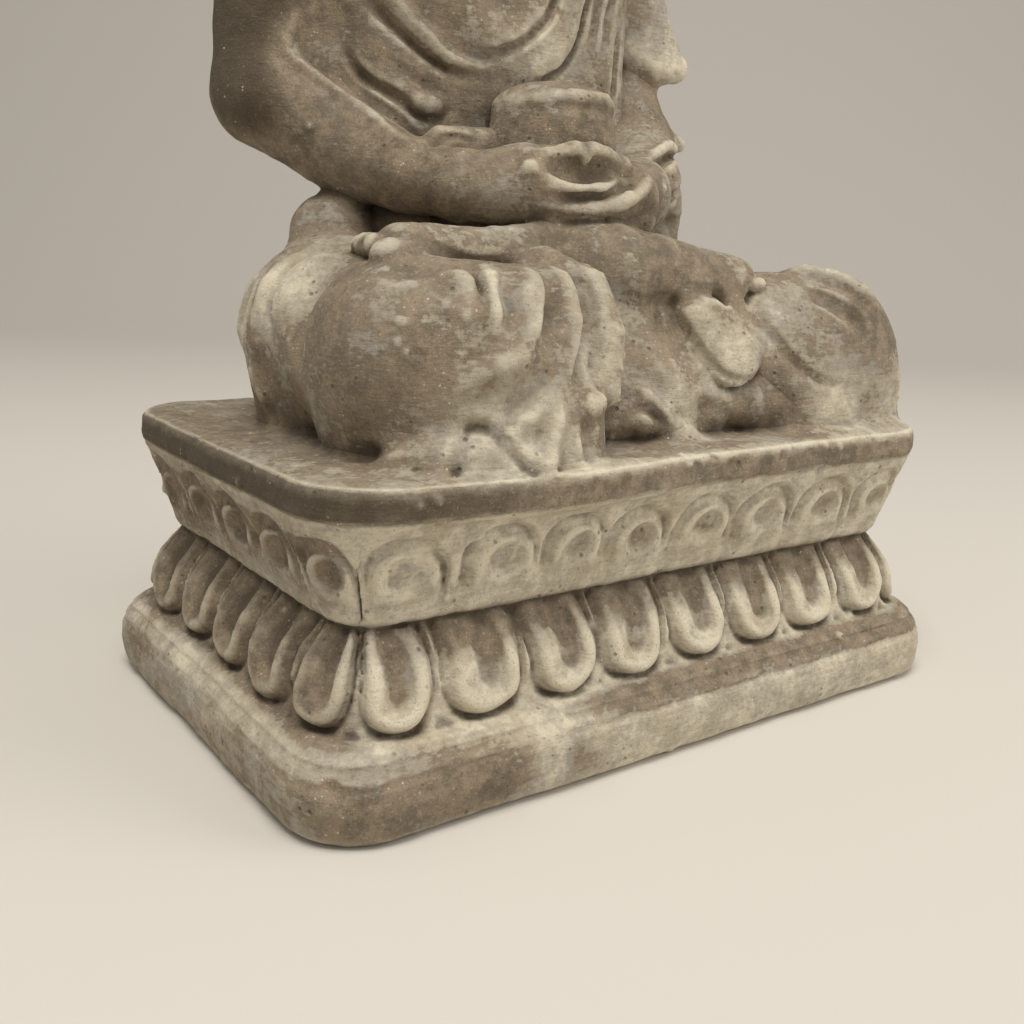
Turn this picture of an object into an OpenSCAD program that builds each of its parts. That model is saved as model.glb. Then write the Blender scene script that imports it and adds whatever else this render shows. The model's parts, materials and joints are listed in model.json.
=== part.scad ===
// Small seated figure in meditation on a double lotus pedestal, cast in cement.
// +Z is up, the figure faces -Y, and the origin is at the middle of the underside.
// Millimetres. Left and right are the figure's own, so its right side is at -X.

/* [Pedestal] */
// Width of the plinth, side to side
base_w = 118; // [100:1:150]
// Depth of the plinth, front to back
base_d = 80; // [76:1:100]
// Corner radius of the plinth
corner_r = 11; // [9:0.5:13]
// Height of the plinth slab
plinth_h = 11; // [9:0.5:13]
// Height of one tier of lotus petals
tier_h = 12.5; // [11:0.5:15]
// Thickness of the band between the tiers
waist_h = 1; // [0.6:0.1:1.5]
// Thickness of the seat slab
seat_h = 5; // [4:0.5:7]

/* [Lotus petals] */
// Width of a petal at its round end
petal_w = 10.5; // [9:0.5:11.5]
// Thickness of a petal where it stands on the core
petal_t = 2.4; // [1.8:0.1:3]
// Height of the raised lobe over the petal
lobe_t = 0.9; // [0.5:0.1:1.5]

/* [Figure] */
// Height from the seat to the top of the head
figure_h = 148; // [120:1:180]
// Roundness of the carved limbs and drapery
facets = 20; // [14:2:24]

/* [Hidden] */

// The figure's landmarks are set out for a figure of this height
design_h = 148;
figure_scale = figure_h / design_h;

// Heights of the pedestal's levels
lower_z = plinth_h;
waist_z = lower_z + tier_h;
upper_z = waist_z + waist_h;
seat_z = upper_z + tier_h;
top_z = seat_z + seat_h;

// Insets of the pedestal's outlines from the plinth's widest outline
shoulder_in = 2.6;
petal_in = 3;
waist_in = 8.6;
seat_in = 3.6;
core_back = 2.6;

// Over the plinth the corners are rounder
tier_r = corner_r + 4;
seat_r = corner_r + 1;

// Petals stand at an even pitch round each tier, the first one near the front left corner
petal_count = 28;
petal_phase = -5.5;
front_petals = [1:8];
left_petals = [10:13];
back_petals = [15:22];
right_petals = [24:27];
corner_petals = [0, 9, 14, 23];

// Radius and height of the bowl in the lap
bowl_r = 9.8;
bowl_h = 14;

// Colours of the weathered cement
cream = [0.78, 0.74, 0.64];
stone = [0.66, 0.62, 0.53];
brown = [0.52, 0.46, 0.37];
shade = [0.45, 0.41, 0.34];
wash = [0.72, 0.72, 0.66];

// ---- Pedestal ----

// A profile (X is outward from the outline, Y is up) carried round a rounded rectangle
// of half sizes hx and hy and corner radius r, and filled inside from z0 to z1
module moulding(hx, hy, r, z0, z1) {
    for (s = [-1, 1]) {
        translate([-(hx - r), s * hy, 0]) mirror([0, s < 0 ? 1 : 0, 0])
            rotate([90, 0, 90]) linear_extrude(2 * (hx - r)) children();
        translate([s * hx, hy - r, 0]) mirror([s < 0 ? 1 : 0, 0, 0])
            rotate([90, 0, 0]) linear_extrude(2 * (hy - r)) children();
        for (t = [-1, 1])
            translate([s * (hx - r), t * (hy - r), 0])
                mirror([s < 0 ? 1 : 0, 0, 0]) mirror([0, t < 0 ? 1 : 0, 0])
                    rotate_extrude(angle = 90) translate([r, 0]) children();
    }
    translate([-(hx - r), -(hy - r), z0]) cube([2 * (hx - r), 2 * (hy - r), z1 - z0]);
}

module plinth_slab() color(stone)
    moulding(base_w / 2, base_d / 2, corner_r, 0, plinth_h)
        polygon([
            [-corner_r, 0], [-1, 0], [0, 1.4], [0, plinth_h - 4],
            [-0.4, plinth_h - 2.4], [-1.4, plinth_h - 1], [-shoulder_in, plinth_h],
            [-corner_r, plinth_h]
        ]);

module lower_lotus_core() color(cream)
    moulding(base_w / 2, base_d / 2, tier_r, lower_z, waist_z)
        polygon([
            [-tier_r, lower_z], [-shoulder_in - 0.6, lower_z],
            [-petal_in - core_back, lower_z + 2], [-waist_in - 0.6, waist_z],
            [-tier_r, waist_z]
        ]);

module waist_band() color(shade)
    moulding(base_w / 2, base_d / 2, tier_r, waist_z, upper_z)
        polygon([
            [-tier_r, waist_z], [-waist_in, waist_z],
            [-waist_in + 0.3, waist_z + waist_h / 2], [-waist_in, upper_z], [-tier_r, upper_z]
        ]);

module upper_lotus_core() color(cream)
    moulding(base_w / 2, base_d / 2, tier_r, upper_z, seat_z)
        polygon([
            [-tier_r, upper_z], [-waist_in - 0.4, upper_z],
            [-petal_in - core_back - 1, seat_z - 4], [-petal_in - 2, seat_z - 2.4],
            [-seat_in - 0.6, seat_z], [-tier_r, seat_z]
        ]);

module seat_slab() color(brown)
    moulding(base_w / 2 - seat_in, base_d / 2 - seat_in, seat_r, seat_z, top_z)
        polygon([
            [-seat_r, seat_z], [-0.6, seat_z], [0, seat_z + 0.7],
            [0, top_z - 0.8], [-0.8, top_z], [-seat_r, top_z]
        ]);

// Place [x, y, angle] at arc length s round the rounded rectangle. s is 0 at the middle of
// the front left corner and runs along the front towards +X.
function ring_place(s, hx, hy, r) =
    let (
        arc = PI * r / 2,
        long_run = 2 * (hx - r),
        short_run = 2 * (hy - r),
        turn = 2 * (long_run + short_run) + 4 * arc,
        t = ((s + arc / 2) % turn + turn) % turn,
        half = long_run + short_run + 2 * arc,
        back = t >= half,
        d = back ? t - half : t,
        flip = back ? -1 : 1,
        p = d < arc
            ? let (a = 180 + 90 * d / arc)
                [-(hx - r) + r * cos(a), -(hy - r) + r * sin(a), a + 90]
            : d < arc + long_run
            ? [-(hx - r) + d - arc, -hy, 360]
            : d < 2 * arc + long_run
            ? let (a = 270 + 90 * (d - arc - long_run) / arc)
                [hx - r + r * cos(a), -(hy - r) + r * sin(a), a + 90]
            : [hx, -(hy - r) + d - 2 * arc - long_run, 450]
    )
    [flip * p.x, flip * p.y, p.z + (back ? 180 : 0)];

// One petal in its own plane: a tongue whose round end is at the origin, running up +Y
module petal_outline(w, length) {
    translate([0, w / 2]) circle(d = w, $fn = 48);
    translate([-w / 2, w / 2]) square([w, length - w / 2]);
}

module petal(length) {
    linear_extrude(petal_t) petal_outline(petal_w, length);
    translate([0, petal_w * 0.16, petal_t - 0.2])
        linear_extrude(lobe_t + 0.2) petal_outline(petal_w * 0.62, length - petal_w * 0.3);
}

// Petals of one tier at the given places in its ring. lean is the slope from the vertical,
// and up is 1 where the round ends point up
module petal_run(places, z, inset, lean, length, up) {
    hx = base_w / 2 - inset;
    hy = base_d / 2 - inset;
    r = corner_r - 1;
    pitch = (4 * (hx + hy - 2 * r) + 2 * PI * r) / petal_count;
    for (k = places) {
        p = ring_place(petal_phase + k * pitch, hx, hy, r);
        translate([p.x, p.y, z]) rotate([0, 0, p.z]) rotate([90 - lean, 0, 0])
            translate([0, 0, -petal_t]) mirror([0, up, 0]) petal(length);
    }
}

module lower_petals(places) petal_run(places, lower_z + 0.6, petal_in, 29, tier_h, 0);
module upper_petals(places) petal_run(places, seat_z - 1.8, petal_in + 1.2, -24, tier_h - 2, 1);

module lower_petals_front() color(wash) lower_petals(front_petals);
module lower_petals_right() color(wash) lower_petals(right_petals);
module lower_petals_back() color(wash) lower_petals(back_petals);
module lower_petals_left() color(wash) lower_petals(left_petals);
module lower_petals_corners() color(wash) lower_petals(corner_petals);
module upper_petals_front() color(cream) upper_petals(front_petals);
module upper_petals_right() color(cream) upper_petals(right_petals);
module upper_petals_back() color(cream) upper_petals(back_petals);
module upper_petals_left() color(cream) upper_petals(left_petals);
module upper_petals_corners() color(cream) upper_petals(corner_petals);

// ---- Figure: places are measured from the middle of the seat, [x, y, height, radius] ----

module on_seat() translate([0, 0, top_z]) scale(figure_scale) children();

// A smooth form stretched over balls, and over round footprints [x, y, radius] on the seat
module form(balls, feet = []) on_seat() hull() {
    for (b = balls) translate([b.x, b.y, b.z]) sphere(r = b[3], $fn = facets);
    for (f = feet) translate([f.x, f.y, 0]) cylinder(r = f.z, h = 0.5, $fn = facets + 4);
}

// Round-ended rod of radius r from a to b
module rod(a, b, r) {
    d = b - a;
    length = norm(d);
    translate(a) rotate([0, acos(d.z / length), atan2(d.y, d.x)])
        rotate_extrude($fn = 32) {
            intersection() {
                circle(r = r, $fn = 32);
                translate([0, -r]) square([r, r]);
            }
            square([r, length]);
            intersection() {
                translate([0, length]) circle(r = r, $fn = 32);
                translate([0, length]) square([r, r]);
            }
        }
}

// Legs under the robe
module right_thigh() color(stone)
    form([[-26, 20, 14, 14], [-33, 4, 13.6, 13.6]], [[-26, 22, 12], [-34, 4, 11.4]]);
module left_thigh() color(stone)
    form([[27, 20, 14, 13.6], [35, 2, 12.8, 12.6]], [[27, 22, 12], [38, 0, 11]]);
module right_knee() color(wash)
    form([[-35, -6, 12.4, 12], [-34.6, -18, 12.2, 12], [-27, -22, 12.4, 11.8],
        [-18, -19, 13, 10.6]],
        [[-34, -19, 11], [-26, -25, 9]]);
module left_knee() color(wash)
    form([[38, -8, 12, 11.4], [42.4, -19.4, 12.2, 12], [29, -17, 12, 11.4]],
        [[43, -20, 11], [32, -20, 9.6]]);
module lap_robe() color(wash)
    form([[-8, -10, 13, 12], [14, -12, 11.6, 11], [1, 2, 17, 10]], [[-4, -16, 9], [12, -17, 9]]);

// Robe edges lying on the seat
module front_hem() color(cream)
    form([[-5, -22.8, 2.8, 2.6], [12, -23.4, 2.8, 2.8], [25, -23.4, 4.2, 3.8]],
        [[-4, -23, 3], [12, -23.6, 3.2], [25, -23.4, 4.2]]);
module right_knee_hem() color(cream)
    form([[-39, -26.6, 3, 2.6], [-30, -31.6, 3.2, 2.8], [-18, -30, 3.4, 3]],
        [[-40, -26.6, 3.4], [-30, -32, 3.6], [-18, -30.6, 3.6]]);
module left_knee_hem() color(cream)
    form([[30.4, -28, 4.4, 2.6], [37, -28.8, 4.2, 2.6], [50, -22.8, 2.8, 2.6]],
        [[32, -28, 2.8], [50, -22.8, 3.2]]);
module knee_hem_strip() color(cream)
    form([[-13.6, -17, 24, 2.4], [-10.6, -23, 20.6, 2.8], [-11, -27, 14.6, 3.2],
        [-12.2, -28.6, 7, 3]]);
module hanging_flap() color(cream)
    form([[9.6, -21.4, 20.8, 2.2], [13, -21.4, 20.8, 2.2], [13.4, -24.6, 11.4, 2.8],
        [19, -24.4, 12.6, 2.8]]);
module side_flap() color(cream)
    form([[16.8, -21.4, 20.2, 2.2], [21, -23.8, 14.4, 2.4], [28.4, -27, 7.4, 2.6]]);

// Feet, soles up, each on the other thigh
module right_foot() color(stone)
    form([[-6, -12, 23, 6.4], [1, -15, 23, 6.6], [8, -16.6, 22.8, 5.4], [22.6, -18, 22.8, 3]]);
module right_toes() color(stone) on_seat()
    for (k = [0:4]) translate([-k * 0.5, -k * 1.75, -k * 0.3])
        rod([22, -14.8, 23.6], [26.8, -15.2, 23.2], 0.85);
module left_foot() color(stone)
    form([[-4, -9, 26.6, 3.8], [-12, -11, 25.6, 4], [-29, -11, 24.8, 4], [-33, -11.4, 24.6, 3.4]]);
module left_toes() color(stone) on_seat()
    for (k = [0:4]) translate([k * 0.4, k * 1.9, 0])
        rod([-33, -14.6, 24.6], [-37.2, -14.4, 24.4], 0.92);

// Body
module torso() color(stone)
    form([[-11.5, 22, 34, 11.5], [11.5, 22, 34, 11.5], [-14, 22, 64, 13.4], [14, 22, 64, 13.4]],
        [[-13, 22, 12], [13, 22, 12]]);
module chest() color(stone)
    form([[-16.4, 22, 68, 12], [16.4, 22, 68, 12], [-26, 23, 84.5, 9.2], [25, 23, 84.5, 9.2],
        [0, 21.6, 93.6, 8.8]]);
module chest_robe() color(wash)
    form([[-17, 17, 34, 7], [14, 16, 36, 6.6], [-21, 16.6, 62, 7.4], [17, 15.6, 62, 7.4]]);
module neckline_fold() color(cream)
    form([[-14, 11, 62, 3.2], [-5, 9.4, 56.6, 3.2], [5, 10, 60, 3.2]]);
module shoulder_drape() color(wash)
    form([[23, 21, 88.6, 9], [17, 15, 72, 7.8], [19, 15, 42, 7.2]]);
module back_robe() color(stone)
    form([[-18, 26, 24, 7.4], [18, 26, 24, 7.4], [-22, 26, 78, 8], [22, 26, 78, 8],
        [-14, 25, 90, 7], [14, 25, 90, 7]]);
module right_hip_drape() color(shade)
    form([[-29, 15, 26.6, 6.6], [-22, 22, 28, 7], [-18, 8, 25, 6]]);
module left_hip_drape() color(shade)
    form([[32, 14, 26, 7], [22, 22, 28, 7], [19, 6, 24, 6]]);
module robe_end_fold() color(cream)
    form([[-16.6, 5, 40.4, 3], [-10, 3, 40.4, 3.2]]);

// Arms and hands
module right_upper_arm() color(brown)
    form([[-30.6, 23.4, 84.4, 9.4], [-35.2, 24, 64, 7.6], [-36.2, 23.6, 47, 7.5]]);
module right_forearm() color(stone)
    form([[-36.2, 23, 46.6, 7.4], [-29, 16.6, 40.8, 7], [-17.6, -1.6, 34, 4.9]]);
module right_hand() color(stone)
    form([[-17, -3, 34, 5], [-10, -7.4, 34.4, 5.6], [-1, -8.4, 34.6, 5]]);
module right_fingers() color(stone) on_seat()
    for (k = [0:3]) translate([0, k * 2.7, -k * 0.4]) rod([-6, -14.4, 33.8], [8.4, -13.2, 34.2], 1.25);
module right_thumb() color(stone) on_seat() rod([-10, -9.4, 38.8], [-4, -11.6, 40.4], 1.7);
module left_sleeve() color(wash)
    form([[28.4, 23.4, 84.4, 9.6], [29, 22.6, 68, 8.4], [31, 20.6, 58, 7.4], [36.6, 15, 59, 3]]);
module left_cuff() color(wash)
    form([[29.4, 19.6, 54, 6.4], [29, 14, 44, 6.6], [37, 14.2, 45.4, 3], [22, 4, 36.6, 7]]);
module left_hand() color(stone)
    form([[16, -2, 34.6, 6], [8, -7, 33.4, 5.4]]);
module left_fingers() color(stone) on_seat()
    for (k = [0:3]) translate([0, k * 2.7, 0]) rod([7, -13, 30.4], [-6, -12.8, 30.2], 1.25);
module left_thumb() color(stone) on_seat() rod([6, -9.6, 38.8], [-1.2, -12, 40.4], 1.7);

// Bowl held above the hands, with a shallow dished top
module alms_bowl() color(stone) on_seat() translate([0, 0, 36]) difference() {
    rotate_extrude($fn = 64)
        polygon([[0, 0], [bowl_r - 4, 0], [bowl_r - 0.8, 3], [bowl_r, 6.6], [bowl_r - 0.7, 10],
            [bowl_r - 1.8, 11.4], [bowl_r - 1.8, 12.8], [bowl_r - 2.8, bowl_h], [0, bowl_h]]);
    translate([0, 0, bowl_h - 1.6]) cylinder(r1 = bowl_r - 6, r2 = bowl_r - 4.2, h = 2, $fn = 64);
}

// Head
module neck() color(stone) form([[0, 20, 94, 9.2], [0, 17.4, 108, 8]]);
module head() color(stone)
    form([[0, 17, 127, 13.4], [0, 12.4, 119.6, 10.6], [0, 7.6, 112.8, 5.4]]);
module right_ear() color(stone) form([[-13.2, 17.2, 125.6, 2.4], [-13, 16.4, 110.2, 2]]);
module left_ear() color(stone) form([[13.2, 17.2, 125.6, 2.4], [13, 16.4, 110.2, 2]]);
module hair_cap() color(shade)
    form([[0, 19.4, 128.4, 14.4], [0, 22.6, 124, 12.4]]);
module ushnisha() color(shade) form([[0, 19.4, 139, 6.8], [0, 19.6, 141.4, 6.2]]);

plinth_slab();
lower_lotus_core();
waist_band();
upper_lotus_core();
seat_slab();
lower_petals_front();
lower_petals_right();
lower_petals_back();
lower_petals_left();
lower_petals_corners();
upper_petals_front();
upper_petals_right();
upper_petals_back();
upper_petals_left();
upper_petals_corners();
right_thigh();
left_thigh();
right_knee();
left_knee();
lap_robe();
front_hem();
right_knee_hem();
left_knee_hem();
knee_hem_strip();
hanging_flap();
side_flap();
right_foot();
right_toes();
left_foot();
left_toes();
torso();
chest();
chest_robe();
neckline_fold();
shoulder_drape();
back_robe();
right_hip_drape();
left_hip_drape();
robe_end_fold();
right_upper_arm();
right_forearm();
right_hand();
right_fingers();
right_thumb();
left_sleeve();
left_cuff();
left_hand();
left_fingers();
left_thumb();
alms_bowl();
neck();
head();
right_ear();
left_ear();
hair_cap();
ushnisha();
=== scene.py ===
import json
import math
from contextlib import contextmanager

import bpy
import numpy as np
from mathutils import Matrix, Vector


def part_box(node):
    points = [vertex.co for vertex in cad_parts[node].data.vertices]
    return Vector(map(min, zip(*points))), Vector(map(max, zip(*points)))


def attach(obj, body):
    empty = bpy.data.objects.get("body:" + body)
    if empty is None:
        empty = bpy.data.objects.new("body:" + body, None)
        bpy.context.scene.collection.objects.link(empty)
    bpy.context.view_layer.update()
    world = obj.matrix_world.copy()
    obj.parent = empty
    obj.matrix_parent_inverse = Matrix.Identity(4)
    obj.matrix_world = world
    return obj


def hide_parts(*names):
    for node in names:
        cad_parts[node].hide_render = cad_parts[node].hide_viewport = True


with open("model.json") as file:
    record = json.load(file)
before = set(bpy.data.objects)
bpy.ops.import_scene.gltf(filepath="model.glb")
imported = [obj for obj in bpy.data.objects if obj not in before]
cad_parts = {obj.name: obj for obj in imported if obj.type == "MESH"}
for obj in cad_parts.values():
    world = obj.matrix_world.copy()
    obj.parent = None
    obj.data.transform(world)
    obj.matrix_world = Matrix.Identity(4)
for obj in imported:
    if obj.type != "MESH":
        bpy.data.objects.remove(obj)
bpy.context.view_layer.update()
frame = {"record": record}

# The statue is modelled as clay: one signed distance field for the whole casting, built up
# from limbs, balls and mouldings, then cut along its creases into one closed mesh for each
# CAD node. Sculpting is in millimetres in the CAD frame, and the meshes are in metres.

import openvdb
from mathutils import Matrix, Vector

MM = 0.001
SEED = 7

FAR = 9.0            # distance that stands for "nowhere near"
REACH = 4.0          # how far outside a shape its distance is worked out
CELL = 0.45
HEAD_CELL = 0.26
OVERLAP = 0.35       # how far a piece runs in under its neighbour
SINK = 0.35          # how fast its skin dips there
NOISE_LOW = (-130, -130, -20)      # the corner of the cube that noise fills
NOISE_SPAN = 260


def node_box(node):
    low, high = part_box(node)
    return np.array(low) / MM, np.array(high) / MM


HALF_W, HALF_D = node_box("plinth_slab")[1][:2]
LOWER_Z, WAIST_Z = (corner[2] for corner in node_box("lower_lotus_core"))
UPPER_Z, SLAB_Z = (corner[2] for corner in node_box("upper_lotus_core"))
SEAT_Z = node_box("seat_slab")[1][2]
CROWN_Z = node_box("ushnisha")[1][2]
CORNER_R = 11.0      # the plinth's corners
TIER_CORNER = 15.0   # the corners of all that stands on the plinth
FIGURE_H = 147.6                       # height that the figure's places are set out for
SCALE = (CROWN_Z - SEAT_Z) / FIGURE_H


# ---- Clay ----

def place(point):
    """A place on the figure, [x, y, height over the seat, ...], in the CAD frame."""
    x, y, h = point[:3]
    return np.array([x * SCALE, y * SCALE, SEAT_Z + h * SCALE])


def smooth_min(a, b, k):
    h = np.maximum(k - np.abs(a - b), 0.0) / k
    return np.minimum(a, b) - h * h * (k / 4)


def within(part, region):
    """The slices that pick a part out of an array that covers a region."""
    return tuple(slice(p.start - r.start, p.stop - r.start) for p, r in zip(part, region))


class Tube:
    """Balls at points, in the CAD frame, joined by tapered rods. flat presses the section
    along a direction to a ratio of its width."""

    def __init__(self, points, radii, flat=None):
        self.points = np.asarray(points, float)
        self.radii = np.asarray(radii, float)
        self.flat = flat
        self.low = (self.points - self.radii[:, None]).min(axis=0)
        self.high = (self.points + self.radii[:, None]).max(axis=0)

    def fill(self, clay, region, out):
        last = max(1, len(self.points) - 1)
        for k in range(last):
            a, b = self.points[k], self.points[min(k + 1, len(self.points) - 1)]
            ra, rb = self.radii[k], self.radii[min(k + 1, len(self.points) - 1)]
            r = max(ra, rb)
            part = clay.region(np.minimum(a, b) - r, np.maximum(a, b) + r, region)
            x, y, z = clay.open_grid(part)
            run = b - a
            length2 = max(float(run @ run), 1e-6)
            t = ((x - a[0]) * run[0] + (y - a[1]) * run[1] + (z - a[2]) * run[2]) / length2
            t = np.clip(t, 0, 1)
            q = [x - a[0] - t * run[0], y - a[1] - t * run[1], z - a[2] - t * run[2]]
            radius = ra + (rb - ra) * t
            if self.flat is None:
                d = np.sqrt(q[0] ** 2 + q[1] ** 2 + q[2] ** 2) - radius
            else:
                n, ratio = self.flat
                across = q[0] * n[0] + q[1] * n[1] + q[2] * n[2]
                along2 = q[0] ** 2 + q[1] ** 2 + q[2] ** 2 - across ** 2
                k0 = np.sqrt(along2 + (across / ratio) ** 2) / radius
                k1 = np.sqrt(along2 + (across / ratio ** 2) ** 2) / radius ** 2
                d = k0 * (k0 - 1) / np.maximum(k1, 1e-6)
            cut = within(part, region)
            out[cut] = np.minimum(out[cut], d)


def unit(*way):
    return np.array(way) / math.sqrt(sum(w * w for w in way))


def Limb(*balls, flat=None):
    """A tube through balls [x, y, height, radius] on the figure."""
    if flat is not None:
        flat = (unit(*flat[:3]), flat[3])
    return Tube([place(b) for b in balls], [b[3] * SCALE for b in balls], flat)


class Beads:
    """Separate balls of one radius at points in the CAD frame."""

    def __init__(self, points, radius):
        self.points = np.asarray(points, float)
        self.radius = radius
        self.low = self.points.min(axis=0) - radius
        self.high = self.points.max(axis=0) + radius

    def fill(self, clay, region, out):
        for point in self.points:
            part = clay.region(point - self.radius, point + self.radius, region)
            x, y, z = clay.open_grid(part)
            d = np.sqrt((x - point[0]) ** 2 + (y - point[1]) ** 2 + (z - point[2]) ** 2)
            cut = within(part, region)
            out[cut] = np.minimum(out[cut], d - self.radius)


class Ball:
    """An ellipsoid at [x, y, height] with radii along its own axes, turned about X, Y, Z."""

    def __init__(self, centre, radii, turn=(0, 0, 0)):
        self.centre = place(centre)
        self.radii = np.array(radii) * SCALE
        self.axes = np.eye(3)
        for angle, axis in zip(turn, "XYZ"):
            step = Matrix.Rotation(math.radians(angle), 3, axis)
            self.axes = np.array(step) @ self.axes
        span = np.abs(self.axes) @ self.radii
        self.low = self.centre - span
        self.high = self.centre + span

    def fill(self, clay, region, out):
        x, y, z = clay.open_grid(region)
        p = [x - self.centre[0], y - self.centre[1], z - self.centre[2]]
        near = far = 0.0
        for k in range(3):
            n = self.axes[:, k]
            q = p[0] * n[0] + p[1] * n[1] + p[2] * n[2]
            near = near + (q / self.radii[k]) ** 2
            far = far + (q / self.radii[k] ** 2) ** 2
        near = np.sqrt(near)
        np.minimum(out, near * (near - 1) / np.maximum(np.sqrt(far), 1e-6), out=out)


class Moulding:
    """A band of the pedestal: profile is [(z, inset), ...] from the plinth's outline,
    relief(x, y, z) may add height to its face, and depth keeps only a shell of it."""

    def __init__(self, profile, relief=None, depth=None, corner=TIER_CORNER):
        self.profile = np.array(profile, float)
        self.corner = corner
        self.relief = relief
        self.depth = depth
        self.low = np.array([-HALF_W, -HALF_D, self.profile[0, 0]])
        self.high = np.array([HALF_W, HALF_D, self.profile[-1, 0]])

    def fill(self, clay, region, out):
        x, y, z = clay.open_grid(region)
        inset = np.interp(z, self.profile[:, 0], self.profile[:, 1])
        side = round_rect(x, y, HALF_W, HALF_D, self.corner) + inset
        if self.relief is not None:
            side = side - self.relief(x, y, z)
        d = np.maximum(side, np.maximum(self.low[2] - z, z - self.high[2]))
        if self.depth is not None:
            d = np.maximum(d, -self.depth - side)
        np.minimum(out, d, out=out)


def round_rect(x, y, hx, hy, r):
    qx = np.abs(x) - (hx - r)
    qy = np.abs(y) - (hy - r)
    outside = np.hypot(np.maximum(qx, 0), np.maximum(qy, 0))
    return outside + np.minimum(np.maximum(qx, qy), 0) - r


def noise(axes, pitch, seed):
    """Smooth noise from -1 to 1 with one wave for about every two pitches."""
    cells = (int(NOISE_SPAN / pitch) + 4,) * 3
    values = np.random.RandomState(seed).uniform(-1, 1, cells).astype(np.float32)
    for axis, places in enumerate(axes):
        u = (places - NOISE_LOW[axis]) / pitch
        base = np.floor(u).astype(int)
        t = u - base
        t = t * t * (3 - 2 * t)
        weights = np.zeros((len(places), cells[axis]), np.float32)
        rows = np.arange(len(places))
        weights[rows, base] = 1 - t
        weights[rows, base + 1] = t
        values = np.moveaxis(np.tensordot(weights, values, axes=(1, axis)), 0, axis)
    return values


def blur(values, sigma):
    """Gaussian blur of a 3-D array; sigma is in cells."""
    reach = max(1, int(round(2.5 * sigma)))
    kernel = np.exp(-0.5 * (np.arange(-reach, reach + 1) / sigma) ** 2)
    kernel = (kernel / kernel.sum()).astype(np.float32)
    for axis in range(3):
        pad = [(0, 0)] * 3
        pad[axis] = (reach, reach)
        wide = np.pad(values, pad, mode="edge")
        size = values.shape[axis]
        total = np.zeros_like(values)
        for k, weight in enumerate(kernel):
            cut = [slice(None)] * 3
            cut[axis] = slice(k, k + size)
            total += weight * wide[tuple(cut)]
        values = total
    return values


def smooth_path(points, step):
    """A Catmull-Rom curve through the points with about one place per step."""
    points = np.asarray(points, float)
    ends = [2 * points[0] - points[1], *points, 2 * points[-1] - points[-2]]
    path = [points[0]]
    for a, b, c, d in zip(ends, ends[1:], ends[2:], ends[3:]):
        count = max(2, int(np.linalg.norm(c - b) / step))
        for t in np.arange(1, count + 1) / count:
            bend = 2 * b + (c - a) * t + (2 * a - 5 * b + 4 * c - d) * t * t
            path.append((bend + (3 * b - a - 3 * c + d) * t ** 3) / 2)
    return np.array(path)


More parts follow.
